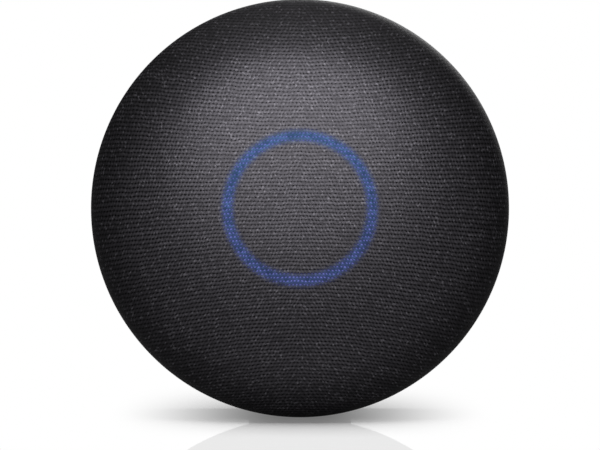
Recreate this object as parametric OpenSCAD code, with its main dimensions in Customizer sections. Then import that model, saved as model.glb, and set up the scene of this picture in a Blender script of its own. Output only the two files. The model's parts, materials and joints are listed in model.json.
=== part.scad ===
// Disc-shaped smart speaker: a domed, cloth-covered front with a ring of light under the cloth,
// a plastic rear shell with keys and a power inlet, and a leg that folds out of the back.
//
// It stands on the floor (z = 0) on a rubber foot and on the leg, faces -Y and leans back.
// All but the foot is drawn in the disc's own frame: x to the right, y up the disc, z out of the
// front, and z = 0 at the widest section. stand_up() then sets the disc on the floor.

/* [Body] */
// Diameter over the cloth
body_d = 160; // [156:1:196]
// Depth of the domed front, from the widest section to its middle
dome_h = 22; // [21:0.5:28]
// Fullness of the dome: 2 is an ellipse, more is squarer
dome_power = 2.2; // [2:0.05:2.6]
// Depth of the back, from the widest section to the cloth's outline at the flat
back_h = 27.4; // [27:0.2:34]
// Diameter of the flat on the back
back_flat_d = 112; // [110:1:118]
// Angle that the disc leans back, in degrees
lean = 8; // [6:0.5:10]
// Height of the cloth's lowest point over the floor
rim_lift = 0.5; // [0.3:0.1:1]

/* [Cloth and grille] */
// Thickness of the cloth
skin_t = 0.9; // [0.7:0.1:1.2]
// How far the cloth wraps behind the widest section
skin_wrap = 6.5; // [6:0.1:7]
// Wall of the grille under the cloth
grille_t = 2.2; // [1.8:0.1:2.6]
// Width of each sound slot in the grille
slot_w = 3.2; // [2:0.1:4]
// Distance between rows of sound slots
slot_pitch = 5.6; // [5:0.1:8]

/* [Light ring] */
// Mean diameter of the light ring
ring_d = 55.4; // [54:0.2:60]
// Width of the light ring
ring_w = 3.6; // [3:0.1:4.2]
// Number of LEDs
led_count = 24; // [12:4:30]

/* [Driver and radiators] */
// Diameter of the driver's flange
driver_d = 72; // [70:0.5:74]
// Diameter of the magnet
magnet_d = 48; // [40:0.5:50]
// Thickness of the magnet
magnet_t = 6; // [5:0.1:6.4]
// Diameter of the pole piece
pole_d = 18.6; // [16:0.1:20]
// Travel of the cone each way
cone_travel = 2.5; // [1.5:0.1:3]
// Diameter of a passive radiator's frame
radiator_d = 32.4; // [30:0.2:33]
// Travel of a passive radiator each way
radiator_travel = 2.5; // [1.5:0.1:3]

/* [Shells] */
// Wall of the rear shell
shell_wall = 2.4; // [2:0.1:2.8]
// Thickness of the baffle
baffle_t = 4; // [3.6:0.1:5]
// Clearance between pieces that are put together
fit_gap = 0.3; // [0.2:0.05:0.4]

/* [Leg and foot] */
// Width of the leg
leg_w = 40; // [30:1:42]
// Thickness of the leg
leg_t = 4; // [3.4:0.1:4.4]
// Length of the leg, from its hinge to the middle of its rounded toe
leg_len = 58; // [52:0.5:60]
// Distance of the hinge below the middle of the disc
hinge_drop = 46; // [44:0.5:48]
// Diameter of the hinge pin
pin_d = 3; // [2:0.1:3.4]
// Width of the rubber foot
foot_w = 22; // [18:1:36]
// Depth of the rubber foot, front to back
foot_d = 9; // [7:0.5:10]
// Thickness of the rubber foot
foot_t = 2.2; // [1.8:0.1:3]

/* [Keys and switch] */
// Length of a key
key_l = 11; // [9:0.5:12]
// Width of a key
key_w = 5; // [4:0.1:5.5]
// Distance between keys
key_pitch = 17.5; // [16:0.5:19]
// How far a key stands out of the shell
key_proud = 0.8; // [0.5:0.1:1.2]
// Travel of a key
key_travel = 0.6; // [0.3:0.05:0.7]
// Travel of the microphone switch
switch_travel = 2.4; // [1.5:0.1:3]

/* [Hidden] */
$fn = 96;
eps = 0.01;

// Outline of the body
body_r = body_d / 2;
flat_r = back_flat_d / 2;
dome_steps = 30;
back_steps = 24;
skin_gap = 0.1;
grille_inset = skin_t + skin_gap;
grille_inner = grille_inset + grille_t;
shell_step = 0.4;
shell_inner = shell_step + shell_wall;
back_w = back_h - shell_step;
floor_w = back_h - shell_inner;

// Points of the dome's outline at an inset from the cloth's surface, from the rim to the middle
function dome_points(inset) = [
    for (i = [0:dome_steps])
        let (t = 90 * i / dome_steps)
        [i == dome_steps ? 0 : (body_r - inset) * pow(cos(t), 2 / dome_power),
         (dome_h - inset) * pow(sin(t), 2 / dome_power)]
];
// Height of the dome at a radius
function dome_z(r, inset) =
    (dome_h - inset) * pow(1 - pow(r / (body_r - inset), dome_power), 1 / dome_power);
// Radius of the back at a distance w behind the widest section
function back_r(w, inset) =
    flat_r + (body_r - flat_r - inset) * sqrt(1 - pow(w / (back_h - inset), 2));
// Points of the back's outline from w_start to w_end
function back_points(w_start, w_end, inset) = [
    for (i = [0:back_steps])
        let (a = asin(w_start / (back_h - inset)), b = asin(w_end / (back_h - inset)),
             t = a + (b - a) * i / back_steps)
        [flat_r + (body_r - flat_r - inset) * cos(t), -(back_h - inset) * sin(t)]
];
function reversed(list) = [for (i = [len(list) - 1:-1:0]) list[i]];

// Place of the disc's middle over the floor, with the rubber foot centred on the origin
shell_front = skin_wrap + 0.4;
lowest_reach = flat_r * cos(lean) + norm([(body_r - flat_r) * cos(lean), back_h * sin(lean)]);
foot_margin = 1.4;
centre_z = lowest_reach + rim_lift;
centre_y = back_r(shell_front, 0) * sin(lean) - shell_front * cos(lean) - foot_d / 2 - foot_margin;

// Front stack
baffle_front = 3;
baffle_back = baffle_front - baffle_t;
baffle_r = dome_z(0, 0) > 0 ? front_inner_r(baffle_front) - fit_gap : 0;
function front_inner_r(z) = (body_r - grille_inner)
    * pow(1 - pow(z / (dome_h - grille_inner), dome_power), 1 / dome_power);
skin_turn = 1.2;
grille_edge = skin_wrap - skin_t - skin_gap;
turn_r = back_r(grille_edge, grille_inner) - skin_turn;
retainer_front = skin_wrap + 0.1;
retainer_back = retainer_front + 1.2;
retainer_r = back_r(retainer_back, shell_inner) - fit_gap;
skirt_t = 2.5;
skirt_r = retainer_r - 3.4;
skirt_back = 10;
gasket_t = 1;
shelf_w = skirt_back + gasket_t;
shelf_t = 1.4;

// Light ring
ring_r = ring_d / 2;
diffuser_t = 1.2;
groove_gap = 0.2;
led_board_front = 13.4;
led_board_t = 1.2;
led_h = 1.2;
led_ear_r = ring_r + 7.3;
window_count = 12;
window_bridge = 6;

// Fasteners: [shank radius, head radius, head height]
m2 = [1, 1.9, 1.3];
m25 = [1.25, 2.3, 1.5];
m3 = [1.5, 2.7, 2];
pilot_gap = 0.02;
led_screw_angles = [45, 135, 225, 315];
grille_screw_angles = [52, 128, 238, 302];
driver_screw_angles = [45, 135, 225, 315];
shell_screw_angles = [30, 150, 210, 270, 330];
column_r = 3.6;
screw_ring_r = skirt_r - skirt_t - column_r + 0.4;

// Driver
driver_r = driver_d / 2;
driver_seat = 2.4;
driver_gasket_t = 0.6;
flange_t = driver_seat - driver_gasket_t;
driver_screw_r = driver_r - 2.4;
basket_r = driver_r - 5.2;
surround_out_r = basket_r - 1.6;
surround_in_r = surround_out_r - 4.8;
surround_t = 0.5;
lip_w = 1.4;
cone_t = 0.5;
pole_r = pole_d / 2;
coil_in_r = pole_r + 0.25;
former_t = 0.2;
winding_t = 0.4;
coil_out_r = coil_in_r + former_t + winding_t;
plate_bore_r = coil_out_r + 0.25;
plate_r = magnet_d / 2 - 2;
plate_t = 2.8;
plate_front = -7.7;
magnet_front = plate_front - plate_t;
yoke_front = magnet_front - magnet_t;
yoke_t = 2.7;
basket_t = 1.2;
neck_z = -1.8;
cone_edge_z = baffle_front - cone_t;
spider_z = -4;
spider_t = 0.4;

// Passive radiators
radiator_r = radiator_d / 2;
radiator_x = skirt_r - skirt_t - fit_gap - radiator_r;
radiator_seat = 2;
radiator_ring = 3;
radiator_roll = 3;
radiator_plate_r = radiator_r - radiator_ring - radiator_roll;
radiator_plate_t = 1.5;

// Main board and what it carries
board_t = 1.6;
board_back = 17.8;
board_front = board_back - board_t;
board_r = 58;
board_hole_r = magnet_d / 2 + 3;
board_top = 52.6;
board_screw_at = [[50, 12], [-50, 12], [-38, -38], [47, -26]];
boss_r = 3;
can_at = [0, 41];
can_size = [24, 20, 2.6];
spreader_size = [30, 22, 2];
pad_t = 0.5;
inlet_at = [32, -34];
inlet_w = 9;
inlet_h = 3.2;
inlet_wall = 0.3;
inlet_sink = 1;
terminal_x = -(basket_r + 0.4);

// Keys, in the top of the rear shell
key_z = -17;
key_flange = 1;
key_flange_margin = 1.2;
key_gap = 0.25;
switch_h = 3.6;
button_board_t = 1;
button_board_z = [-20.5, -13.5];
key_list = [-1, 0, 1];
// Smallest inner radius of the shell over a key's flange
key_inner_r = back_r(-key_z + key_w / 2 + key_flange_margin, shell_inner);
function key_flange_y(i) =
    sqrt(pow(key_inner_r, 2) - pow(abs(i) * key_pitch + key_l / 2 + key_flange_margin, 2)) - 0.4;
switch_top = key_flange_y(1) - key_flange - key_travel - 0.1;
button_board_y = switch_top - switch_h - button_board_t;

// Microphone switch, in the flat of the back
mic_switch_at = [-34, 36];
knob_l = 5;
knob_w = 3.2;
knob_proud = 0.7;
knob_flange = 1;

// Keyhole for a wall screw
keyhole_at = [0, 34];
keyhole_r = 4.5;
keyhole_slot_r = 2.4;
keyhole_rise = 8;
keyhole_room = 3.6;
pocket_wall = 1.4;

// Microphones
mic_x = 20;
mic_y = 58;
mic_board_z = 7.6;
mic_board_t = 1;

// Leg. Its hinge lies hinge_in under the flat of the back, and its outer face is flush when folded
barrel_r = 3;
hinge_in = barrel_r;
hinge_w = back_w - hinge_in;
leg_off = barrel_r - leg_t / 2;
toe_r = leg_t / 2;
toe_len = 7;
tongue_t = leg_t / 2;
recess_gap = 0.6;
recess_depth = leg_t + recess_gap;
recess_wall = 2;
hinge_height = centre_z - hinge_drop * cos(lean) - hinge_w * sin(lean);
// Angle that the leg swings from folded until its toe meets the floor
leg_swing = acos(-(hinge_height - toe_r) / norm([leg_len, leg_off])) - atan(leg_off / leg_len) - lean;
// Where the opened leg's outer face crosses the flat of the back, which is where it stops
stop_y = -hinge_drop - barrel_r * sin(leg_swing)
    + cos(leg_swing) * (hinge_in - barrel_r * cos(leg_swing)) / sin(leg_swing);
recess_low = stop_y - 0.2;
recess_high = -hinge_drop + leg_len + toe_r + recess_gap;
washer_t = 0.5;

// ---------- helpers ----------

// From the disc's own frame to the standing frame
module stand_up() translate([0, centre_y, centre_z]) rotate([90 - lean, 0, 0]) children();

// Repeats a child at angles on a circle in the disc's plane
module on_circle(r, angles) for (a = angles) rotate(a) translate([r, 0, 0]) children();

// A cylinder from z = z_low to z = z_high
module rod(r, z_low, z_high) translate([0, 0, z_low]) cylinder(r = r, h = z_high - z_low);

// A flat ring from z = z_low to z = z_high
module ring(r_in, r_out, z_low, z_high) difference() {
    rod(r_out, z_low, z_high);
    rod(r_in, z_low - 1, z_high + 1);
}

// A box with its middle at x, y
module block(size, z_low) translate([-size[0] / 2, -size[1] / 2, z_low]) cube(size);

// A plate with round ends, long in x
module pill(l, w, z_low, z_high) {
    for (s = [-1, 1]) translate([s * (l - w) / 2, 0, 0]) rod(w / 2, z_low, z_high);
    translate([-(l - w) / 2, -w / 2, z_low]) cube([l - w, w, z_high - z_low]);
}

// A cross-recessed pan-head screw with its head's seat at z = 0, its shank down and its head up
module screw(kind, length) difference() {
    union() {
        rod(kind[0], -length, 0.2);
        rod(kind[1], 0, kind[2]);
    }
    for (a = [0, 90])
        rotate(a) translate([-kind[1] * 0.6, -kind[0] * 0.2, kind[2] * 0.5])
            cube([kind[1] * 1.2, kind[0] * 0.4, kind[2]]);
}

// The solid inside the dome's outline at an inset
module dome_solid(inset) rotate_extrude()
    polygon(concat([[0, 0]], dome_points(inset)));

// A half-round roll of rubber with a flat lip on each side, lying on z = 0
module surround_roll(r_in, r_out, lip_in, lip_out) {
    mid = (r_in + r_out) / 2;
    roll = (r_out - r_in) / 2;
    rotate_extrude() {
        intersection() {
            translate([mid, 0]) difference() {
                circle(roll);
                circle(roll - surround_t);
            }
            translate([r_in - 1, 0]) square([r_out - r_in + 2, roll + 1]);
        }
        translate([r_in - lip_in, 0]) square([lip_in + surround_t, surround_t]);
        translate([r_out - surround_t, 0]) square([lip_out + surround_t, surround_t]);
    }
}

// ---------- front ----------

module cloth_skin() color("#2f2e31") stand_up() rotate_extrude()
    polygon(concat(
        reversed(dome_points(0)),
        back_points(0, skin_wrap, 0),
        [[turn_r, -skin_wrap], [turn_r, -skin_wrap + skin_t]],
        reversed(back_points(0, skin_wrap - skin_t, skin_t)),
        dome_points(skin_t)));

// One row of sound slots, cut through the dome
module slot_row(r) {
    count = round(2 * PI * r / 24) * 2;
    bridge = 2.6 * 360 / (2 * PI * r);
    for (i = [0:count - 1])
        rotate(i * 360 / count) rotate_extrude(angle = 360 / count - bridge)
            translate([r - slot_w / 2, baffle_front + 1]) square([slot_w, dome_h]);
}

module front_grille() color("#1b1b1d") stand_up() {
    slot_limit = screw_ring_r - column_r;
    difference() {
        union() {
            rotate_extrude() polygon(concat(
                reversed(dome_points(grille_inset)),
                back_points(0, grille_edge, grille_inset),
                reversed(back_points(0, grille_edge, grille_inner)),
                dome_points(grille_inner)));
            intersection() {
                dome_solid(grille_inset + grille_t / 2);
                union() {
                    on_circle(screw_ring_r, grille_screw_angles) rod(3, baffle_front + 0.1, dome_h);
                    on_circle(led_ear_r, led_screw_angles) rod(2.5, led_board_front + 0.1, dome_h);
                }
            }
        }
        // Groove and windows for the light ring
        difference() {
            ring(ring_r - ring_w / 2 - groove_gap, ring_r + ring_w / 2 + groove_gap, baffle_front, dome_h);
            dome_solid(grille_inset + diffuser_t);
        }
        for (i = [0:window_count - 1])
            rotate(i * 360 / window_count) rotate_extrude(angle = 360 / window_count - window_bridge)
                translate([ring_r - ring_w / 2 + 0.4, baffle_front]) square([ring_w - 0.8, dome_h]);
        // Sound slots inside and outside the light ring
        for (r = [slot_pitch:slot_pitch:ring_r - ring_w / 2 - slot_w]) slot_row(r);
        for (r = [led_ear_r + 3 + slot_w / 2 + 1:slot_pitch:slot_limit]) slot_row(r);
        on_circle(screw_ring_r, grille_screw_angles)
            rod(m25[0] + pilot_gap, baffle_front - 1, baffle_front + 5.5);
        on_circle(led_ear_r, led_screw_angles)
            rod(m2[0] + pilot_gap, led_board_front - 1, led_board_front + 2.6);
    }
}

module skin_retainer() color("#303033") stand_up()
    ring(skirt_r + fit_gap, retainer_r, -retainer_back, -retainer_front);

module light_diffuser() color("#d9e4f5") stand_up() intersection() {
    ring(ring_r - ring_w / 2, ring_r + ring_w / 2, baffle_front, dome_h);
    difference() {
        dome_solid(grille_inset);
        dome_solid(grille_inset + diffuser_t - skin_gap);
    }
}

// White channel that keeps the light in, from the LED board up to the grille
module light_box() color("white") stand_up() {
    wall = 1;
    intersection() {
        dome_solid(grille_inner + skin_gap);
        union() for (r = [ring_r - ring_w / 2 - wall - 0.4, ring_r + ring_w / 2 + 0.4])
            ring(r, r + wall, led_board_front, dome_h);
    }
    // Floor of the channel, open over each LED
    difference() {
        ring(ring_r - ring_w / 2 - 0.9, ring_r + ring_w / 2 + 0.9, led_board_front, led_board_front + 0.8);
        for (i = [0:led_count - 1])
            rotate(i * 360 / led_count) translate([ring_r, 0, 0]) block([3, 3.8, 3], led_board_front - 1);
    }
}

module led_board() color("#16402a") stand_up() difference() {
    union() {
        ring(ring_r - 6.2, ring_r + 5.8, led_board_front - led_board_t, led_board_front);
        on_circle(led_ear_r, led_screw_angles)
            rod(3, led_board_front - led_board_t, led_board_front);
        translate([0, -ring_r - 7, 0]) block([12, 6, led_board_t], led_board_front - led_board_t);
    }
    on_circle(led_ear_r, led_screw_angles)
        rod(m2[0] + 0.15, led_board_front - led_board_t - 1, led_board_front + 1);
}

module leds() color("#f4f2e6") stand_up() for (i = [0:led_count - 1])
    rotate(i * 360 / led_count) translate([ring_r, 0, 0]) block([2.6, 3.4, led_h], led_board_front);

module led_board_screws() color("silver") stand_up()
    on_circle(led_ear_r, led_screw_angles)
        translate([0, 0, led_board_front - led_board_t]) mirror([0, 0, 1]) screw(m2, 3.6);

module mic_boards() color("#16402a") stand_up() for (s = [-1, 1])
    translate([s * mic_x, mic_y, 0]) {
        block([13, 8, mic_board_t], mic_board_z);
        block([3.8, 3, 1], mic_board_z + mic_board_t - eps);
    }

// Rubber tube that seals each microphone to the grille
module mic_boots() color("#101010") stand_up() intersection() {
    dome_solid(grille_inner + skin_gap);
    for (s = [-1, 1]) translate([s * mic_x, mic_y, 0])
        ring(2.6, 3.8, mic_board_z + mic_board_t, dome_h);
}

module baffle() color("#262628") stand_up() difference() {
    union() {
        rod(baffle_r, baffle_back, baffle_front);
        ring(skirt_r - skirt_t, skirt_r, -skirt_back, 0);
        on_circle(screw_ring_r, shell_screw_angles) rod(column_r, -12, 0);
        on_circle(driver_screw_r, driver_screw_angles) rod(2.6, baffle_back - 4, 0);
        for (s = [-1, 1]) translate([s * mic_x, mic_y, 0])
            block([9, 6, mic_board_z - baffle_front + eps], baffle_front - eps);
    }
    // Seat and opening for the driver
    rod(driver_r + 0.2, baffle_front - driver_seat, baffle_front + 1);
    rod(basket_r + fit_gap, baffle_back - 1, baffle_front + 1);
    on_circle(driver_screw_r, driver_screw_angles)
        rod(m25[0] + pilot_gap, baffle_back - 3, baffle_front + 1);
    // Seats and openings for the passive radiators
    for (s = [-1, 1]) translate([s * radiator_x, 0, 0]) {
        rod(radiator_r + 0.2, baffle_front - radiator_seat, baffle_front + 1);
        rod(radiator_r - radiator_ring + fit_gap, baffle_back - 1, baffle_front + 1);
    }
    on_circle(screw_ring_r, shell_screw_angles) rod(m3[0] + pilot_gap, -13, -3);
    on_circle(screw_ring_r, grille_screw_angles)
        rod(m25[0] + 0.15, baffle_back - 1, baffle_front + 1);
    // Way through for the ribbon cable
    translate([0, -ribbon_y, 0]) block([11, 3.4, baffle_t + 2], baffle_back - 1);
}

module grille_screws() color("#3a3a3a") stand_up()
    on_circle(screw_ring_r, grille_screw_angles)
        translate([0, 0, baffle_back]) mirror([0, 0, 1]) screw(m25, baffle_t + 5);

module baffle_gasket() color("#111111") stand_up()
    ring(skirt_r - skirt_t + 0.5, skirt_r, -shelf_w, -skirt_back);

// ---------- driver ----------

module driver_gasket() color("#1a1a1a") stand_up() difference() {
    ring(basket_r + fit_gap, driver_r, baffle_front - driver_seat,
         baffle_front - driver_seat + driver_gasket_t);
    on_circle(driver_screw_r, driver_screw_angles) rod(m25[0] + 0.15, 0, baffle_front);
}

module driver_basket() color("#2b2b2e") stand_up() difference() {
    foot_r = plate_r;
    union() {
        rotate_extrude() polygon([
            [surround_out_r, baffle_front], [driver_r, baffle_front],
            [driver_r, baffle_front - flange_t], [basket_r, baffle_front - flange_t],
            [basket_r - 4, spider_z - 1], [foot_r, spider_z - 1.6],
            [foot_r, plate_front], [coil_out_r + 2, plate_front],
            [coil_out_r + 2, plate_front + basket_t], [foot_r - basket_t, plate_front + basket_t],
            [foot_r - basket_t, spider_z - 0.6], [basket_r - 4 - basket_t, spider_z],
            [basket_r - basket_t, baffle_front - flange_t]
        ]);
    }
    for (a = [30:60:330])
        rotate(a) translate([basket_r - 6, -4.5, spider_z + 0.8]) cube([10, 9, 4]);
    on_circle(driver_screw_r, driver_screw_angles)
        rod(m25[0] + 0.15, baffle_front - flange_t - 1, baffle_front + 1);
}

module driver_screws() color("#3a3a3a") stand_up()
    on_circle(driver_screw_r, driver_screw_angles)
        translate([0, 0, baffle_front]) screw(m25, driver_seat + 3.6);

module driver_top_plate() color("#b9bcc0") stand_up()
    ring(plate_bore_r, plate_r, magnet_front, plate_front);

module driver_magnet() color("#3c3c40") stand_up()
    ring(plate_bore_r + 2, magnet_d / 2, yoke_front, magnet_front);

module driver_yoke() color("#b9bcc0") stand_up() {
    rod(plate_r, yoke_front - yoke_t, yoke_front);
    rod(pole_r, yoke_front - eps, plate_front - 0.2);
}

module driver_surround() color("#161617") stand_up() translate([0, 0, baffle_front])
    surround_roll(surround_in_r, surround_out_r, lip_w, 2);

// Corrugated spring disc that centres the coil
module driver_spider() color("#c79a4b") stand_up() {
    waves = 4;
    r_in = coil_out_r + 0.1;
    r_out = basket_r - 4 - basket_t - 0.1;
    step = (r_out - r_in - 1) / (2 * waves);
    wave = [for (i = [0:2 * waves]) [r_in + 0.5 + i * step, spider_z + 0.1 + (i % 2) * 1.1]];
    rotate_extrude() polygon(concat(
        [[r_in, spider_z + 0.1]], wave, [[r_out, spider_z + 0.1], [r_out, spider_z + 0.1 + spider_t]],
        [for (p = reversed(wave)) [p[0], p[1] + spider_t]], [[r_in, spider_z + 0.1 + spider_t]]));
}

module driver_cone() color("#5b5b60") stand_up() {
    neck_r = coil_in_r + former_t;
    edge_r = surround_in_r - 0.1;
    rotate_extrude() polygon([
        [neck_r, neck_z], [neck_r + cone_t, neck_z], [surround_in_r - lip_w, cone_edge_z - 0.4],
        [edge_r, cone_edge_z - 0.4], [edge_r, cone_edge_z + cone_t - 0.1],
        [surround_in_r - lip_w - 0.4, cone_edge_z + cone_t - 0.1], [neck_r, neck_z + 1.1]
    ]);
}

module dust_cap() color("#47474b") stand_up() {
    cap_r = coil_in_r + 1.2;
    crown = 4;
    ball_r = (cap_r * cap_r + crown * crown) / (2 * crown);
    base_z = neck_z + 1.7;
    intersection() {
        rod(cap_r, base_z, base_z + crown + 1);
        translate([0, 0, base_z + crown - ball_r]) difference() {
            sphere(ball_r);
            sphere(ball_r - cone_t);
        }
    }
}

module voice_coil() color("#b87333") stand_up() {
    ring(coil_in_r, coil_in_r + former_t, -13, neck_z + 1.2);
    ring(coil_in_r + former_t - eps, coil_out_r, -11.6, -6.8);
}

module driver_terminals() color("#8a5a2b") stand_up()
    translate([terminal_x, 0, 0]) block([1.2, 10, 7], -9);

// Leads from the terminals straight back to their connector on the main board
module speaker_leads() color("#b02a2a") stand_up() {
    for (s = [-1, 1]) translate([terminal_x - 0.1, s * 2.5, 0]) rod(0.8, -board_front + 2.9, -9);
    translate([terminal_x - 0.1, 0, 0]) block([4, 9, 3], -board_front);
}

// ---------- passive radiators ----------

module radiator_frames() color("#2b2b2e") stand_up() for (s = [-1, 1])
    translate([s * radiator_x, 0, 0])
        ring(radiator_r - radiator_ring, radiator_r, baffle_front - radiator_seat, baffle_front);

module radiator_surround(side) color("#161617") stand_up()
    translate([side * radiator_x, 0, baffle_front])
        surround_roll(radiator_plate_r, radiator_r - radiator_ring, lip_w, 1.6);

module radiator_plate(side) color("#8d9095") stand_up() translate([side * radiator_x, 0, 0])
    rod(radiator_plate_r, baffle_front - radiator_plate_t - 0.1, baffle_front - 0.1);

// ---------- rear shell ----------

module rear_shell() color("#202022") {
    difference() {
        union() {
            stand_up() difference() {
                union() {
                    shell_wall_solid();
                    shell_inner_features();
                }
                shell_cuts();
            }
            foot_plinth();
        }
        // Flat face over the rubber foot
        translate([-foot_w, -foot_d, -1]) cube([2 * foot_w, 2 * foot_d, foot_t + 1]);
    }
}

module shell_wall_solid() rotate_extrude() polygon(concat(
    back_points(shell_front, back_w, shell_step),
    [[0, -back_w], [0, -floor_w]],
    reversed(back_points(shell_front, floor_w, shell_inner))));

// What stands on the inside of the shell, cut to the shell's outline
module shell_inner_features() intersection() {
    rotate_extrude() polygon(concat(
        [[0, -shell_front]], back_points(shell_front, back_w, shell_step), [[0, -back_w]]));
    union() {
        ring(skirt_r - skirt_t - 0.3, body_r, -shelf_w - shelf_t, -shelf_w);
        on_circle(screw_ring_r, shell_screw_angles) rod(4.6, -back_w, -12.2);
        for (p = board_screw_at) translate([p[0], p[1], 0]) rod(boss_r, -back_w, -board_back);
        recess_tub();
        translate([keyhole_at[0], keyhole_at[1] + keyhole_rise / 2, 0])
            block([2 * keyhole_r + 2 * pocket_wall, keyhole_rise + 2 * keyhole_r + 2 * pocket_wall,
                   keyhole_room + pocket_wall + shell_wall], -back_w);
        for (s = [-1, 1]) translate([s * (key_pitch + 3), 0, 0]) key_board_rib();
    }
}

// Rib that carries one end of the button board
module key_board_rib() translate([0, button_board_y - 1.1, 0])
    block([4, 2, back_w + button_board_z[1]], -back_w);

// Tub that the folded leg lies in, with a deeper end for the hinge
module recess_tub() {
    half_w = leg_w / 2 + recess_gap;
    translate([-half_w - recess_wall, recess_low - recess_wall, -back_w])
        cube([2 * (half_w + recess_wall), recess_high - recess_low + 2 * recess_wall,
              recess_depth + recess_wall]);
    translate([-half_w - 5, -hinge_drop - barrel_r - recess_wall - 0.2, -back_w])
        cube([2 * (half_w + 5), 2 * (barrel_r + recess_wall + 0.2), 2 * barrel_r + recess_gap + 1.8]);
}

module shell_cuts() {
    half_w = leg_w / 2 + recess_gap;
    // Recess for the leg, its hinge and a finger
    translate([-half_w, recess_low, -back_w - 1])
        cube([2 * half_w, recess_high - recess_low, recess_depth + 1]);
    translate([-half_w, -hinge_drop - barrel_r - 0.2, -back_w - 1])
        cube([2 * half_w, 2 * barrel_r + 0.4, 2 * barrel_r + 0.4 + 1]);
    translate([0, recess_high - 2, 0]) rod(9, -back_w - 1, -back_w + 1.6);
    translate([0, -hinge_drop, -hinge_w]) rotate([0, 90, 0])
        rod(pin_d / 2 + pilot_gap, -half_w - 5.1, half_w + 5.1);
    // Wells and holes for the screws
    on_circle(screw_ring_r, shell_screw_angles) {
        rod(m3[1] + 0.4, -back_h - 1, -15.2);
        rod(m3[0] + 0.2, -back_h, -12);
        rod(column_r + fit_gap, -12.05, -skirt_back);
    }
    for (p = board_screw_at) translate([p[0], p[1], 0])
        rod(m25[0] + pilot_gap, -board_back - 5.6, -board_back + 1);
    // Power inlet, with a shallow well for the plug
    translate([inlet_at[0], inlet_at[1], 0]) {
        pill(inlet_w + 0.4, inlet_h + 0.4, -back_w - 1, -floor_w + 1);
        pill(inlet_w + 4.2, inlet_h + 4.2, -back_w - 1, -back_w + 0.8);
    }
    // Keys
    for (i = key_list) key_prism(i, key_gap);
    // Slot for the knob of the microphone switch, in a shallow dish
    translate([mic_switch_at[0], mic_switch_at[1], 0]) {
        pill(knob_l + switch_travel + 0.5, knob_w + 0.5, -back_w - 1, -floor_w + 1);
        pill(knob_l + switch_travel + 4, knob_w + 4, -back_w - 1, -back_w + 0.6);
    }
    // Keyhole and the room behind it for a screw's head
    translate([keyhole_at[0], keyhole_at[1], 0]) {
        rod(keyhole_r, -back_w - 1, -floor_w + keyhole_room);
        translate([0, keyhole_rise, 0]) rod(keyhole_slot_r, -back_w - 1, -floor_w + 1);
        translate([-keyhole_slot_r, 0, -back_w - 1])
            cube([2 * keyhole_slot_r, keyhole_rise, shell_wall + 1.5]);
        translate([0, keyhole_rise, 0]) rod(keyhole_r, -floor_w, -floor_w + keyhole_room);
        translate([-keyhole_r, 0, -floor_w]) cube([2 * keyhole_r, keyhole_rise, keyhole_room]);
    }
}

// The hole of a key through the shell's wall, widened by gap
module key_prism(i, gap) translate([i * key_pitch, 0, key_z]) rotate([-90, 0, 0])
    pill(key_l + 2 * gap, key_w + 2 * gap, switch_top + 2, body_r + 5);

// Block under the shell that carries the rubber foot
module foot_plinth() difference() {
    intersection() {
        translate([-foot_w / 2 - 1, -foot_d / 2 - 0.6, 0])
            cube([foot_w + 2, foot_d + 1.2, foot_t + 4.5]);
        stand_up() rod(body_r, -back_w, -shell_front);
    }
    stand_up() rotate_extrude() polygon(concat(
        [[0, 0]], back_points(0, floor_w, shell_inner)));
}

module shell_screws() color("#2a2a2c") stand_up()
    on_circle(screw_ring_r, shell_screw_angles)
        translate([0, 0, -15.2]) mirror([0, 0, 1]) screw(m3, 11);

module rim_foot() color("#0f0f10") intersection() {
    translate([0, 0, 0]) block([foot_w, foot_d, foot_t], 0);
    union() {
        block([foot_w - 4, foot_d, foot_t], 0);
        block([foot_w, foot_d - 4, foot_t], 0);
        for (sx = [-1, 1], sy = [-1, 1])
            translate([sx * (foot_w / 2 - 2), sy * (foot_d / 2 - 2), 0]) rod(2, 0, foot_t);
    }
}

// ---------- electronics ----------

ribbon_y = driver_r + 8;

module main_board() color("#16402a") stand_up() difference() {
    intersection() {
        ring(board_hole_r, board_r, -board_back, -board_front);
        translate([-board_r, -board_r, -board_back]) cube([2 * board_r, board_r + board_top, board_t]);
    }
    for (p = board_screw_at) translate([p[0], p[1], 0])
        rod(m25[0] + 0.15, -board_back - 1, -board_front + 1);
}

module board_screws() color("silver") stand_up() for (p = board_screw_at)
    translate([p[0], p[1], -board_front]) screw(m25, board_t + 5);

module shield_can() color("#c9ccd1") stand_up() translate([can_at[0], can_at[1], 0]) difference() {
    block(can_size, -board_front);
    block([can_size[0] - 0.6, can_size[1] - 0.6, can_size[2] - 0.3], -board_front - eps);
}

module thermal_pad() color("#7aa3c9") stand_up() translate([can_at[0], can_at[1], 0])
    block([can_size[0] - 4, can_size[1] - 4, pad_t], -board_front + can_size[2]);

module heat_spreader() color("#a9adb3") stand_up() translate([can_at[0], can_at[1], 0])
    difference() {
        block(spreader_size, -board_front + can_size[2] + pad_t);
        for (x = [-10:4:10]) translate([x, 0, 0])
            block([1.6, spreader_size[1] + 2, 2], -board_front + can_size[2] + pad_t + 1);
    }

module amplifier_chip() color("#1c1c1e") stand_up() translate([38, 26, 0])
    block([8, 8, 1.2], -board_front);

module inductors() color("#55585c") stand_up() for (p = [[46, 0], [40, -14]])
    translate([p[0], p[1], 0]) {
        block([8, 8, 1], -board_front);
        rod(3.6, -board_front + 0.9, -board_front + 4.2);
    }

module capacitors() color("#3d4f7a") stand_up() for (p = [[-42, -8], [-40, -19], [-33, -28]])
    translate([p[0], p[1], 0]) rod(4, -board_front, -board_front + 8.6);

module radio_module() color("#bfc3c8") stand_up() translate([-38, 28, 0])
    block([16, 12, 2.2], -board_front);

module antennas() color("#c08a3e") stand_up() for (s = [-1, 1])
    translate([s * 37, 22, 0]) block([24, 7, 0.6], -floor_w);

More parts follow.
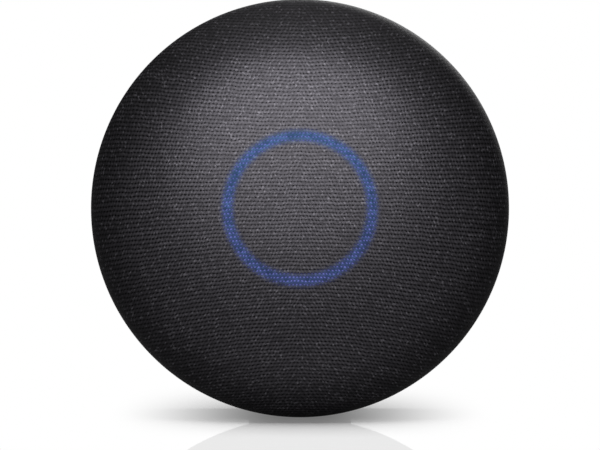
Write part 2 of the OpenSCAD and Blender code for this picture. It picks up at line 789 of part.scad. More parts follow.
// Flat cable from the LED board, through the baffle, to its connector on the main board
module ribbon_cable() color("#e8e6df") stand_up() {
    t = 0.3;
    y0 = -ring_r - 8;
    y1 = -ribbon_y;
    z0 = led_board_front - led_board_t;
    translate([4, 0, 0]) rotate([0, -90, 0]) linear_extrude(8) polygon([
        [z0, y0], [z0 - 4, y0], [z0 - 7, y1], [-board_front + 2, y1], [-board_front + 2, y1 - t],
        [z0 - 7 + t, y1 - t], [z0 - 4 + t, y0 - t], [z0, y0 - t]
    ]);
    translate([0, y1, 0]) block([10, 3, 2.02], -board_front);
}

module power_inlet() color("#c9ccd1") stand_up() translate([inlet_at[0], inlet_at[1], 0])
    difference() {
        pill(inlet_w, inlet_h, -back_w + inlet_sink, -board_back);
        pill(inlet_w - 2 * inlet_wall, inlet_h - 2 * inlet_wall, -back_w, -board_back - 1);
    }

module inlet_tongue() color("#1a1a1a") stand_up() translate([inlet_at[0], inlet_at[1], 0])
    block([6.6, 0.7, 5.6], -board_back - 1 - 5.6);

module button_board() color("#16402a") stand_up()
    translate([-key_pitch - 6.5, button_board_y, button_board_z[0]])
        cube([2 * key_pitch + 13, button_board_t, button_board_z[1] - button_board_z[0]]);

module tact_switches() color("#8f9398") stand_up() for (i = key_list)
    translate([i * key_pitch, button_board_y + button_board_t, key_z]) rotate([-90, 0, 0]) {
        block([6, 3.6, switch_h - 1], 0);
        rod(1.2, switch_h - 1.1, switch_h);
    }

// ---------- keys and switch ----------

// A key whose top follows the shell, with a flange inside the wall and a stem to its switch
module key(i) color("#2c2c2f") stand_up() {
    intersection() {
        rotate_extrude() polygon(concat(
            [[0, -shell_front]], back_points(shell_front, back_w, shell_step - key_proud),
            [[0, -back_w]]));
        translate([i * key_pitch, 0, key_z]) rotate([-90, 0, 0])
            pill(key_l, key_w, key_flange_y(i) - eps, body_r + 5);
    }
    translate([i * key_pitch, 0, key_z]) rotate([-90, 0, 0]) {
        pill(key_l + 2 * key_flange_margin, key_w + 2 * key_flange_margin - 0.2,
             key_flange_y(i) - key_flange, key_flange_y(i));
        rod(1.5, switch_top + key_travel + 0.1, key_flange_y(i));
    }
}

module mic_switch_body() color("#8f9398") stand_up()
    translate([mic_switch_at[0], mic_switch_at[1], 0])
        block([knob_l + switch_travel + 5, knob_w + 2.4, floor_w - board_back - knob_flange - 0.6],
              -floor_w + knob_flange + 0.5);

// Ribbed knob at one end of its slot, with a flange behind the wall
module mic_switch_knob() color("#2c2c2f") stand_up()
    translate([mic_switch_at[0] - switch_travel / 2, mic_switch_at[1], 0]) {
        difference() {
            pill(knob_l, knob_w, -back_w - knob_proud + 0.6, -floor_w + 0.2);
            for (x = [-1, 0, 1]) translate([x * 1.1, 0, 0])
                block([0.5, knob_w + 1, 0.5], -back_w - knob_proud + 0.35);
        }
        block([knob_l + switch_travel + 2.2, knob_w + 2, knob_flange], -floor_w + 0.15);
    }

// ---------- leg ----------

// From the leg's own frame to the opened leg: x along the hinge, y along the leg, z to its outer face
module opened() stand_up() translate([0, -hinge_drop, -hinge_w])
    rotate([-leg_swing, 0, 0]) rotate([0, 180, 0]) children();

module stand_leg() color("#3a3b3f") opened() difference() {
    union() {
        rotate([0, 90, 0]) rod(barrel_r, -leg_w / 2, leg_w / 2);
        translate([-leg_w / 2, 0, leg_off - leg_t / 2]) cube([leg_w, leg_len - toe_len, leg_t]);
        translate([-leg_w / 2 + 2, 0, leg_off - tongue_t / 2]) cube([leg_w - 4, leg_len - 2, tongue_t]);
    }
    rotate([0, 90, 0]) rod(pin_d / 2 + 0.05, -leg_w / 2 - 1, leg_w / 2 + 1);
    // Shallow lightening panel on the inner face
    translate([-leg_w / 2 + 5, 8, leg_off - leg_t / 2 - 1])
        cube([leg_w - 10, leg_len - toe_len - 13, 1.8]);
}

module stand_toe() color("#0f0f10") opened() difference() {
    union() {
        translate([-leg_w / 2, leg_len - toe_len + 0.05, leg_off - leg_t / 2])
            cube([leg_w, toe_len - 0.05, leg_t]);
        translate([0, leg_len, leg_off]) rotate([0, 90, 0]) rod(toe_r, -leg_w / 2, leg_w / 2);
    }
    translate([-leg_w / 2 + 1.95, leg_len - toe_len - 1, leg_off - tongue_t / 2 - 0.05])
        cube([leg_w - 3.9, toe_len - 1 + 0.05, tongue_t + 0.1]);
}

module hinge_pin() color("silver") stand_up() translate([0, -hinge_drop, -hinge_w]) rotate([0, 90, 0])
    rod(pin_d / 2, -leg_w / 2 - recess_gap - 4.8, leg_w / 2 + recess_gap + 4.8);

module hinge_washers() color("#8f9398") stand_up() translate([0, -hinge_drop, -hinge_w])
    for (s = [-1, 1]) translate([s * (leg_w / 2 + recess_gap / 2), 0, 0]) rotate([0, 90, 0])
        ring(pin_d / 2 + 0.05, barrel_r - 0.2, -washer_t / 2, washer_t / 2);

cloth_skin();
front_grille();
skin_retainer();
light_diffuser();
light_box();
led_board();
leds();
led_board_screws();
mic_boards();
mic_boots();
baffle();
grille_screws();
driver_gasket();
driver_basket();
driver_screws();
driver_top_plate();
driver_magnet();
driver_yoke();
driver_surround();
driver_spider();
driver_cone();
dust_cap();
voice_coil();
driver_terminals();
speaker_leads();
radiator_frames();
radiator_surround(-1);  // left_radiator_surround
radiator_surround(1);  // right_radiator_surround
radiator_plate(-1);  // left_radiator_plate
radiator_plate(1);  // right_radiator_plate
baffle_gasket();
rear_shell();
shell_screws();
main_board();
board_screws();
shield_can();
thermal_pad();
heat_spreader();
amplifier_chip();
inductors();
capacitors();
radio_module();
antennas();
ribbon_cable();
power_inlet();
inlet_tongue();
button_board();
tact_switches();
key(-1);  // volume_up_key
key(1);  // volume_down_key
key(0);  // action_key
mic_switch_body();
mic_switch_knob();
rim_foot();
stand_leg();
stand_toe();
hinge_pin();
hinge_washers();
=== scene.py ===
"""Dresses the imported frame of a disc-shaped smart speaker.

Cloth front with its light ring, rubber, screws, key marks, flexing rings and the finish of
every part, on a plain studio floor.
"""

import functools
import json
import math

import bmesh
import bpy
import numpy as np
from bpy.props import FloatProperty, FloatVectorProperty, IntProperty, PointerProperty
from mathutils import Matrix, Vector
from mathutils.bvhtree import BVHTree


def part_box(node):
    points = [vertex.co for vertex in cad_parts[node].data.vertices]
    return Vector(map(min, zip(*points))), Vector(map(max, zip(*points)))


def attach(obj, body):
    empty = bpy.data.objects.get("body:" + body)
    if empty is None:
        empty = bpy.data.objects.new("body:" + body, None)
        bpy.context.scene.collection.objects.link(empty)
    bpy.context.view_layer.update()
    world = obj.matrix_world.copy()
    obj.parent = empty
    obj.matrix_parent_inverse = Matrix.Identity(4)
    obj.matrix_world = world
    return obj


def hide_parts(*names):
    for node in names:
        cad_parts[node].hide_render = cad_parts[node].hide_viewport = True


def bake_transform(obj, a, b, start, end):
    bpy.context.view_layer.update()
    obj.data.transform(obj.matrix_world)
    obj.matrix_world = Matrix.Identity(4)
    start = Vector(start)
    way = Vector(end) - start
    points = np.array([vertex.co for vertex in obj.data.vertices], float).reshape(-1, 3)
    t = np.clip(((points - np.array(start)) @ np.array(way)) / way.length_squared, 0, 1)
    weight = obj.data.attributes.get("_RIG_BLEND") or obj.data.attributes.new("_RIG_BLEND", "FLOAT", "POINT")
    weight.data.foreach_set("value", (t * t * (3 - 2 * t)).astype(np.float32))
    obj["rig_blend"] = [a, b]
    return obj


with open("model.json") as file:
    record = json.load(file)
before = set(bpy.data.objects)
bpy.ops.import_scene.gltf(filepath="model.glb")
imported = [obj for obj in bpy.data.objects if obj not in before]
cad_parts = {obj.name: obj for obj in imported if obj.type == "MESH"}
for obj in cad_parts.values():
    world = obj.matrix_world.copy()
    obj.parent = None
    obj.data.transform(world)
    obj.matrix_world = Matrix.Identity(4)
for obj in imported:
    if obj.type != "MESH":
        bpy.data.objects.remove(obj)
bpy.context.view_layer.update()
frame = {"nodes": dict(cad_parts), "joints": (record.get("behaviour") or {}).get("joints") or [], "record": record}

bl_info = {
    "name": "Disc Speaker Finish",
    "version": (1, 0, 0),
    "blender": (4, 5, 0),
    "location": "3D Viewport > Sidebar > Speaker",
    "description": "Cloth, rubber, screws, key marks and surface finishes for a disc-shaped smart speaker",
    "category": "Object",
}

NODES = frame["nodes"]

# The disc's own axes: across, up along its face, and out of the cloth
ACROSS = Vector((1, 0, 0))
FRONT = Vector(next(j["axis"] for j in frame["joints"] if j["name"] == "cone_travel")).normalized()
UP = FRONT.cross(ACROSS)
AXES = np.array([ACROSS, UP, FRONT])
LEAN = Matrix((ACROSS, UP, FRONT)).transposed().to_4x4()

# Points closer than this, in metres, are one
WELD = 1e-6
# Lamps round the light ring
LAMPS = 24
# Shares of the cloth's faces, from the middle, at which the dome, the wrap and the fold end
DOME_END, WRAP_END, FOLD_END = 0.8, 0.9, 0.95
# Part of the cut cloth's radius that is left when the stretch is let out
UNSTRETCHED = 0.98
# How far the made cloth may be from the frame's cloth, in metres
CLOTH_SLACK = 0.0004
# Share of a flexing ring's faces that each glued lip takes
LIP_SHARE = 0.04
# Both walls of rubber beside the toe's slot, and the length over which its ribs begin, in metres
SLOT_WALLS, RIB_START = 0.0039, 0.0004
# Width of exp(-|x|^3) at half its height
GLOW_SPAN = 1.77


def disc_points(mesh, origin=(0, 0, 0)):
    """A mesh's vertices along the disc's own axes, in metres from the origin."""
    return (np.array([v.co for v in mesh.vertices], float) - np.array(origin)) @ AXES.T


def spans(points, middle=(0, 0)):
    """How far points on the disc's own axes are from a line along its axis."""
    return np.hypot(points[:, 0] - middle[0], points[:, 1] - middle[1])


def measure_disc():
    """The middle of the cloth's widest section, its radius, the dome's height, the wrap's depth."""
    points = disc_points(NODES["cloth_skin"].data)
    middle = (points.min(0) + points.max(0)) / 2
    radii = spans(points, middle)
    nearly = 2e-5
    widest = points[radii > radii.max() - nearly, 2].mean()
    place = ACROSS * middle[0] + UP * middle[1] + FRONT * widest
    return place, float(radii.max()), float(points[:, 2].max() - widest), float(widest - points[:, 2].min())


MIDDLE, DISC_RADIUS, DOME_HEIGHT, WRAP_DEPTH = measure_disc()
DISC = Matrix.Translation(MIDDLE) @ LEAN


def node_points(node):
    """A CAD node's vertices on the disc's own axes, in metres from its middle."""
    return disc_points(NODES[node].data, MIDDLE)


RING_RADII = spans(node_points("light_diffuser"))
RING_RADIUS = float(RING_RADII.max() + RING_RADII.min()) / 2


# ---------- settings ----------


def number(name, description, default, **more):
    return FloatProperty(name=name, description=description, default=default, **more)


def length(name, description, default):
    return number(name, description, default, precision=6, unit="LENGTH")


def count(name, description, default, low, high):
    return IntProperty(name=name, description=description, default=default, min=low, max=high)


def colour(name, description, default):
    return FloatVectorProperty(
        name=name, description=description, default=default, subtype="COLOR", size=3, min=0, max=1
    )


class SpeakerCloth(bpy.types.PropertyGroup):
    """Shape and weave of the cloth skin"""

    dome_power: number("Dome Power", "Roundness of the dome's shoulder", 2.2, min=1.8, max=3)
    back_radius: length("Back Radius", "Radius of the flat of the back", 0.056)
    back_depth: length("Back Depth", "Depth of the back behind the widest section", 0.0274)
    thickness: length("Thickness", "Thickness of the cloth with its backing", 0.0009)
    hem: length("Hem", "Cloth turned in under the edge of the grille", 0.0036)
    segments: count("Segments", "Faces round the rim", 288, 48, 512)
    rings: count("Rings", "Faces from the middle to the hem", 88, 24, 160)
    thread_pitch: length("Thread Pitch", "Distance between warp threads", 0.000665)
    row_pitch: length("Row Pitch", "Distance between weft rows", 0.00144)
    bow: number("Bow", "How far the rows bow where the cloth is pulled over the dome", 0.27)
    colour: colour("Colour", "Colour of the yarn", (0.007, 0.0066, 0.0075))
    fleck_colour: colour("Fleck Colour", "Colour of the lighter fibres", (0.026, 0.025, 0.028))
    shine_colour: colour("Shine Colour", "Colour of the yarn's shine", (0.932, 0.888, 1.0))
    roughness: number("Roughness", "Roughness of the yarn's shine", 0.39, subtype="FACTOR", min=0, max=1)
    relief: length("Relief", "Height of a yarn over the gaps", 0.00004)
    slant: number(
        "Slant", "How far the threads lean away from the middle, from 0, upright, to 1", 0.65, min=-1, max=1
    )


class SpeakerLight(bpy.types.PropertyGroup):
    """Light ring behind the cloth"""

    ring_radius: length("Ring Radius", "Middle radius of the glow on the cloth", RING_RADIUS - 0.0002)
    ring_width: length("Ring Width", "Width of the glow at half its strength", 0.0039)
    # The blue of the ring's light, painted into the threads' colour and shine over the ring, a painted glow
    painted_glow_tint: colour("Tint", "Colour that the lit threads take", (0.19, 0.55, 0.9))
    glow: colour("Glow", "Colour of the light that comes through", (0.29, 0.32, 1))
    strength: number("Strength", "Strength of the light that comes through", 0.168, min=0)


class SpeakerScrews(bpy.types.PropertyGroup):
    """Screws of the rear shell"""

    places: count("Places", "Evenly spaced places round the shell", 6, 3, 24)
    first_angle: number(
        "First Angle", "Turn of the first place from the right", math.radians(30), subtype="ANGLE"
    )
    left_out: count("Place Left Out", "Number of the place that has no screw, counted from 0", 1, 0, 23)
    head_height: length("Head Height", "Height of a head", 0.002)
    shank: length("Shank Radius", "Radius of the thread", 0.0015)
    thread: length("Thread Pitch", "Distance between two turns of the thread", 0.0005)
    drive: length("Drive Radius", "Mean radius of the star in the head", 0.0012)


class SpeakerToe(bpy.types.PropertyGroup):
    """Rubber toe of the leg"""

    rib_pitch: length("Rib Pitch", "Distance between two ribs", 0.0009)
    groove_depth: length("Groove Depth", "Depth of the grooves between the ribs", 0.0003)
    plain_length: length("Plain Length", "Length next to the leg that has no ribs", 0.0022)
    slot_height: length("Slot Height", "Height of the slot for the leg's tongue", 0.0021)
    slot_length: length("Slot Length", "Depth of the slot for the leg's tongue", 0.006)


class SpeakerMarks(bpy.types.PropertyGroup):
    """Raised marks on the keys"""

    length: length("Length", "Length of a bar", 0.0022)
    stroke: length("Stroke", "Width of a bar", 0.00048)
    dot: length("Dot", "Diameter of the dot", 0.0011)
    height: length("Height", "Height over the key", 0.0002)
    soften: length("Softened Edge", "Size of the softened edge", 0.00006)
    step: length("Step", "Distance between points of an outline", 0.00024)


class SpeakerSuspension(bpy.types.PropertyGroup):
    """Rubber rolls and spring disc that hold the moving parts"""

    roll_thickness: length("Roll Thickness", "Thickness of a rubber roll", 0.0005)
    roll_lip: length("Roll Lip", "Width of the glued lips of a roll", 0.0015)
    disc_thickness: length("Disc Thickness", "Thickness of the spring disc", 0.0004)
    disc_lip: length("Disc Lip", "Width of the glued lips of the spring disc", 0.0006)
    waves: count("Waves", "Corrugations across the spring disc", 4, 1, 12)
    rings: count("Rings", "Faces from the inner edge to the outer", 56, 12, 160)
    segments: count("Segments", "Faces round the middle", 120, 24, 288)


class SpeakerColours(bpy.types.PropertyGroup):
    """Colours of the moulded parts"""

    shell: colour("Shell", "Rear shell and leg", (0.026, 0.026, 0.028))
    keys: colour("Keys", "Keys and switch knob", (0.042, 0.042, 0.046))
    inner: colour("Inner Parts", "Grille, baffle and frames", (0.012, 0.012, 0.013))
    rubber: colour("Rubber", "Foot, toe and surrounds", (0.017, 0.017, 0.018))
    marks: colour("Key Marks", "Raised marks on the keys", (0.16, 0.16, 0.17))


class SpeakerStudio(bpy.types.PropertyGroup):
    """Floor, lights and camera"""

    floor_radius: length("Floor Radius", "Radius of the floor", 4.5)
    camera_distance: length("Camera Distance", "Distance from the camera to the disc", 2.5)
    camera_drop: length("Aim Drop", "How far under the disc's middle the camera aims", 0.00642)
    lens: number("Lens", "Focal length of the camera", 392, unit="CAMERA")
    key_power: number("Key Light", "Power of the softbox in front and above", 16.9, unit="POWER")
    rear_power: number("Rear Light", "Power of the softbox behind", 18, unit="POWER")
    top_power: number("Top Light", "Power of the softbox overhead", 22, unit="POWER")
    fill: number("Fill", "Strength of the room's light", 0.1, min=0)
    mirror: number(
        "Mirror", "Strength of the reflection on the floor in front", 0.26, subtype="FACTOR", min=0, max=1
    )


class SpeakerSettings(bpy.types.PropertyGroup):
    """All sizes and colours of the speaker's finish"""

    cloth: PointerProperty(name="Cloth", type=SpeakerCloth)
    light: PointerProperty(name="Light Ring", type=SpeakerLight)
    screws: PointerProperty(name="Screws", type=SpeakerScrews)
    toe: PointerProperty(name="Toe", type=SpeakerToe)
    marks: PointerProperty(name="Key Marks", type=SpeakerMarks)
    suspension: PointerProperty(name="Suspension", type=SpeakerSuspension)
    colours: PointerProperty(name="Colours", type=SpeakerColours)
    studio: PointerProperty(name="Studio", type=SpeakerStudio)


# ---------- node helpers ----------


def sign(operation, turned=False):
    """How a sign between two values becomes a node."""

    def act(self, other):
        pair = (other, self) if turned else (self, other)
        return self.graph.math(operation, *pair)

    return act


class Value:
    """A node's output, for use in sums."""

    __add__, __radd__ = sign("ADD"), sign("ADD", True)
    __sub__, __rsub__ = sign("SUBTRACT"), sign("SUBTRACT", True)
    __mul__, __rmul__ = sign("MULTIPLY"), sign("MULTIPLY", True)
    __truediv__, __rtruediv__ = sign("DIVIDE"), sign("DIVIDE", True)
    __pow__ = sign("POWER")

    def __init__(self, graph, socket):
        self.graph, self.socket = graph, socket

    def __abs__(self):
        return self.graph.math("ABSOLUTE", self)


class Graph:
    """Adds and links nodes in a shader or geometry tree."""

    def __init__(self, tree):
        self.tree = tree

    def put(self, socket, value):
        if isinstance(value, Value):
            self.tree.links.new(value.socket, socket)
        elif value is not None:
            socket.default_value = value

    def add(self, kind, **values):
        """A node with its settings and then, under names with a capital, its sockets."""
        node = self.tree.nodes.new(kind)
        for name, value in values.items():
            if name[0].isupper():
                self.put(node.inputs[name.replace("_", " ")], value)
            else:
                setattr(node, name, value)
        return node

    def out(self, kind, which=0, **values):
        """An output of a new node."""
        return Value(self, self.add(kind, **values).outputs[which])

    def fill(self, kind, values, which=0, only=None, **settings):
        """An output of a new node whose sockets, all or those of one type, are set in their order."""
        node = self.add(kind, **settings)
        for socket, value in zip([s for s in node.inputs if only in (None, s.type)], values):
            self.put(socket, value)
        return Value(self, node.outputs[which])

    def math(self, operation, *values, clamp=False):
        return self.fill("ShaderNodeMath", values, operation=operation, use_clamp=clamp)

    sin = functools.partialmethod(math, "SINE")
    cos = functools.partialmethod(math, "COSINE")
    most = functools.partialmethod(math, "MAXIMUM")
    floor = functools.partialmethod(math, "FLOOR")

    def bands(self, value, pitch=1.0):
        """Round-topped bands, from 0 between two to 1."""
        return abs(self.sin(value * (math.pi / pitch)))

    def span(self, x, y):
        return self.math("SQRT", x * x + y * y)

    def vector(self, operation, a, b=None):
        which = "Value" if operation in ("DOT_PRODUCT", "LENGTH") else "Vector"
        return self.fill("ShaderNodeVectorMath", (a, b), which, operation=operation)

    def join(self, x=None, y=None, z=None):
        return self.fill("ShaderNodeCombineXYZ", (x, y, z))

    def apart(self, vector):
        return [Value(self, s) for s in self.add("ShaderNodeSeparateXYZ", Vector=vector).outputs]

    def remap(self, value, low, high, to_low=0.0, to_high=1.0, smooth=False):
        kind = "SMOOTHSTEP" if smooth else "LINEAR"
        return self.fill("ShaderNodeMapRange", (value, low, high, to_low, to_high), interpolation_type=kind)

    def ray(self, kind):
        """1 for light paths of that kind, 0 for the others."""
        return self.out("ShaderNodeLightPath", kind)


class Finish(Graph):
    """A material with one Principled shader, read in the object's own coordinates."""

    def __init__(self, name, **sockets):
        self.material = bpy.data.materials.new(name)
        self.material.use_nodes = True
        super().__init__(self.material.node_tree)
        self.tree.nodes.clear()
        self.shader = self.add("ShaderNodeBsdfPrincipled")
        self.output = self.add("ShaderNodeOutputMaterial", Surface=Value(self, self.shader.outputs[0]))
        self.place = self.out("ShaderNodeTexCoord", "Object")
        self.set(**sockets)

    def set(self, **sockets):
        """Fills the shader's sockets and gives the material."""
        for name, value in sockets.items():
            self.put(self.shader.inputs[name.replace("_", " ")], value)
        return self.material

    def noise(self, scale, detail=2.0, roughness=0.5, place=None, distortion=0.0):
        more = {"Vector": place or self.place, "Distortion": distortion}
        return self.out("ShaderNodeTexNoise", Scale=scale, Detail=detail, Roughness=roughness, **more)

    def cells(self, scale, feature="F1", place=None, randomness=1.0):
        more = {"Vector": place or self.place, "Scale": scale, "Randomness": randomness}
        return self.out("ShaderNodeTexVoronoi", "Distance", feature=feature, **more)

    def luck(self, x, y):
        """A random value for each whole number pair."""
        return self.out("ShaderNodeTexWhiteNoise", "Value", noise_dimensions="2D", Vector=self.join(x, y))

    def spread(self, noise, low, high):
        """The middle part of a noise, spread from low to high."""
        return self.remap(noise, 0.3, 0.7, low, high)

    def blend(self, factor, a, b):
        """Colour between a and b."""
        pair = [value if isinstance(value, Value) else (*value, 1) for value in (a, b)]
        return self.fill("ShaderNodeMix", pair, 2, "RGBA", data_type="RGBA", Factor=factor)

    def tones(self, noise, a, b, low=0.3, high=0.7):
        """Colour from a to b as the noise goes from low to high."""
        return self.blend(self.remap(noise, low, high), a, b)

    def shade(self, colour, amount):
        """Colour times an amount."""
        return self.vector("MULTIPLY", colour, amount)

    def bump(self, height, distance, under=None):
        return self.out("ShaderNodeBump", Height=height, Distance=distance, Strength=1.0, Normal=under)

    def edges(self, radius):
        """(rounded normal, 0 to 1 along the edges)."""
        soft = self.out("ShaderNodeBevel", samples=4, Radius=radius)
        sharp = self.out("ShaderNodeNewGeometry", "Normal")
        return soft, self.remap(self.vector("DOT_PRODUCT", soft, sharp), 0.995, 0.86)

    def axes(self):
        """A point's place across, up and out of the disc, in metres from its middle."""
        away = self.vector("SUBTRACT", self.place, tuple(MIDDLE))
        return [self.vector("DOT_PRODUCT", away, tuple(axis)) for axis in (ACROSS, UP, FRONT)]

    def polar(self):
        """A point's distance from the disc's axis, and its turn round it in radians."""
        x, y, _ = self.axes()
        return self.span(x, y), self.math("ARCTAN2", y, x)


class Shape(Graph):
    """A geometry tree with named inputs, run on a base mesh and kept as a plain mesh."""

    KINDS = {float: "NodeSocketFloat", int: "NodeSocketInt", bpy.types.Object: "NodeSocketObject"}

    def __init__(self, name, **values):
        super().__init__(bpy.data.node_groups.new(name, "GeometryNodeTree"))
        self.values = {}
        face = self.tree.interface
        for way in ("INPUT", "OUTPUT"):
            face.new_socket("Geometry", in_out=way, socket_type="NodeSocketGeometry")
        for label, value in values.items():
            kind = self.KINDS[type(value)]
            socket = face.new_socket(label.replace("_", " "), in_out="INPUT", socket_type=kind)
            self.values[socket.identifier] = value
        self.group = self.add("NodeGroupInput")

    def __getitem__(self, label):
        return Value(self, self.group.outputs[label])

    def geo(self, kind, **values):
        """The first output of a geometry node."""
        return self.out("GeometryNode" + kind, **values)

    def grid(self):
        """A flat unit grid, with each point's share along it, and its turn."""
        grid = self.geo("MeshGrid", Vertices_X=self["Rings"], Vertices_Y=self["Segments"])
        along, turn, _ = self.apart(self.geo("InputPosition"))
        return grid, along + 0.5, (turn + 0.5) * math.tau

    def wind(self, grid, radius, height, turn):
        """The grid wound round the disc's axis, closed and smooth."""
        place = self.join(radius * self.cos(turn), radius * self.sin(turn), height)
        shaped = self.geo("SetPosition", Geometry=grid, Position=place)
        merged = self.geo("MergeByDistance", Geometry=shaped, Distance=WELD)
        return self.geo("SetShadeSmooth", Geometry=merged)

    def close(self, geometry, material):
        """Ends the tree: instances made real, and the material set."""
        real = self.out("GeometryNodeRealizeInstances", Geometry=geometry)
        done = self.out("GeometryNodeSetMaterial", Geometry=real, Material=material)
        self.add("NodeGroupOutput", Geometry=done)

    def run(self, name, place, base=None):
        """The tree's result on the base mesh as a plain object, moved into place."""
        piece = bpy.data.objects.new(name, base or bpy.data.meshes.new(name))
        bpy.context.scene.collection.objects.link(piece)
        modifier = piece.modifiers.new(self.tree.name, "NODES")
        modifier.node_group = self.tree
        for identifier, value in self.values.items():
            modifier[identifier] = value
        graph = bpy.context.evaluated_depsgraph_get()
        mesh = bpy.data.meshes.new_from_object(
            piece.evaluated_get(graph), preserve_all_data_layers=True, depsgraph=graph
        )
        piece.modifiers.clear()
        piece.data = mesh
        mesh.transform(place)
        if not mesh.polygons:
            raise RuntimeError(f"{name} came out empty")
        return piece


def new_piece(name, shape):
    """A plain object of the shape, in the scene."""
    mesh = bpy.data.meshes.new(name)
    shape.to_mesh(mesh)
    shape.free()
    piece = bpy.data.objects.new(name, mesh)
    bpy.context.scene.collection.objects.link(piece)
    return piece


def bridge(shape, low, high):
    """Faces between two rings of points of equal count."""
    for k in range(len(low)):
        n = (k + 1) % len(low)
        shape.faces.new((low[k], low[n], high[n], high[k]))


# ---------- finishes ----------


def cloth_finish(cloth, light):
    """Coarse plain-weave speaker cloth: bright weft floats, dark gaps, and a ring of light through it."""
    f = Finish("woven_cloth")
    f.material.cycles.emission_sampling = "NONE"
    uv = f.out("ShaderNodeUVMap", uv_map="weave")
    # Threads and rows wander a little
    flat = f.apart(uv)
    drift = f.remap(f.noise(0.09, 2.0, place=uv), 0, 1, -1.1, 1.1)
    nudge = f.noise(1.0, 1.0, place=f.vector("MULTIPLY", uv, (0.22, 0.9, 1.0)))
    sag = f.noise(0.16, 1.0, place=f.vector("ADD", uv, (31.0, 7.0, 3.0)))
    u = flat[0] + drift + f.remap(nudge, 0.2, 0.8, -0.55, 0.55)
    v = flat[1] + f.remap(sag, 0, 1, -0.28, 0.28)
    # Each float and each row differs a little
    row = f.floor(v)
    luck = f.luck(f.floor((u + row) * 0.5), row)
    spark = f.luck(f.floor(u * 1.2), f.floor(v * 2.0))
    streak = f.noise(1.0, 3.0, 0.6, place=f.vector("MULTIPLY", uv, (0.035, 0.45, 1.0)))
    fibres = f.noise(1.0, 2.0, 0.6, place=f.vector("MULTIPLY", uv, (0.9, 5.5, 1.0)))
    # Weft rows with a gap between each two, where the warp leaves slanting holes, mirrored about the middle
    gap = 1.0 - f.bands(v) ** 0.95
    side = abs(u)
    rise = f.cos((side + v) * math.pi) * (0.5 + 0.5 * cloth.slant)
    fall = f.cos((side - v) * math.pi) * (0.5 - 0.5 * cloth.slant)
    sway = f.remap(rise + fall, -1, 1)
    holes = gap * f.remap(sway, 0, 1, 0.54, f.remap(luck, 0, 1, 0.73, 1.12))
    dips = (1.0 - gap) * sway * 0.32
    # The gaps darken the colour and the shine: partly the dark inside seen through the holes, partly painted shade
    # between the yarns
    weave = f.math("SUBTRACT", 1.0 - holes, dips, clamp=True)
    # Light ring behind the cloth: its glow comes through, and its blue is painted into the threads' colour and
    # shine over the ring, a painted glow
    radius, _ = f.polar()
    off = abs((radius - light.ring_radius) / (light.ring_width / GLOW_SPAN))
    lit = f.math("EXPONENT", off**3.0 * -1.0)
    painted_glow_tint = f.blend(lit, (1, 1, 1), light.painted_glow_tint)
    pins = (gap * sway) ** 1.5
    leak = f.remap(pins, 0, 1, 0.5, 3.9) * f.remap(luck, 0, 1, 0.6, 1.4)
    # Past the shoulder the stretched cloth is rougher, and its colour and shine are darkened towards the rim, a
    # painted shade
    shoulder = f.remap(radius, DISC_RADIUS * 0.68, DISC_RADIUS, smooth=True)
    level = f.remap(luck, 0, 1, 0.72, 1.24) * f.spread(streak, 0.74, 1.26) * f.spread(fibres, 0.85, 1.15)
    # Painted shade: the colour darkens towards the rim
    level *= f.remap(shoulder, 0, 1, 1.0, 0.78)
    base = f.tones(spark, cloth.colour, cloth.fleck_colour, 0.86, 1.0)
    # Painted shade: the shine fades towards the rim
    shine = f.remap(weave, 0.1, 1, 0.02, 1.12) * f.remap(shoulder, 0, 1, 1.0, 0.1)
    glints = f.remap(spark, 0, 1, 0.8, 1.12) + f.remap(spark, 0.9, 1.0, 0.0, 0.45)
    bright = f.remap(luck, 0, 1, 0.86, 1.08) * glints
    grade = f.spread(fibres, 0.05, -0.05) + f.remap(weave, 0, 1, -0.12, 0.04) + cloth.roughness
    height = weave * f.remap(luck, 0, 1, 0.8, 1.1) + fibres * 0.16
    # Base colour and shine carry the painted glow of the ring and the painted shade of the rim and of the gaps
    return f.set(
        Base_Color=f.shade(f.shade(base, painted_glow_tint), f.remap(weave, 0.18, 1, 0.02, 1.75) * level),
        Specular_Tint=f.shade(f.shade(painted_glow_tint, cloth.shine_colour), shine * bright),
        Roughness=f.math("ADD", grade, shoulder * 0.35, clamp=True),
        Emission_Color=(*light.glow, 1),
        Emission_Strength=lit * light.strength * leak,
        Normal=f.bump(height, cloth.relief),
    )


def moulded_finish(name, colour, roughness=0.5, grain=0.00045, depth=0.00003, edge=0.0003, dust=0.0):
    """Spark-textured moulded plastic, worn a little smoother and lighter along its softened edges."""
    f = Finish(name)
    soft, worn = f.edges(edge)
    sparks = f.cells(1 / grain, "SMOOTH_F1")
    cloudy = f.noise(34, 3.0, 0.6)
    scuff = worn * f.remap(f.noise(420, 3.0, 0.7), 0.42, 0.62)
    skin = f.blend(scuff * 0.55, colour, [min(1.0, c * 2.1 + 0.02) for c in colour])
    if dust:
        skin = f.blend(f.remap(f.noise(900, 4.0, 0.7), 0.64, 0.74, 0.0, dust), skin, (0.3, 0.29, 0.28))
    tone = f.spread(cloudy, 0.88, 1.12) * f.remap(sparks, 0.1, 0.7, 0.86, 1.12)
    rough = f.spread(cloudy, -0.04, 0.05) + scuff * -0.1
    return f.set(
        Base_Color=f.shade(skin, tone),
        Roughness=f.math("ADD", rough, roughness, clamp=True),
        Normal=f.bump(sparks + f.noise(3 / grain) * 0.4, depth, soft),
    )


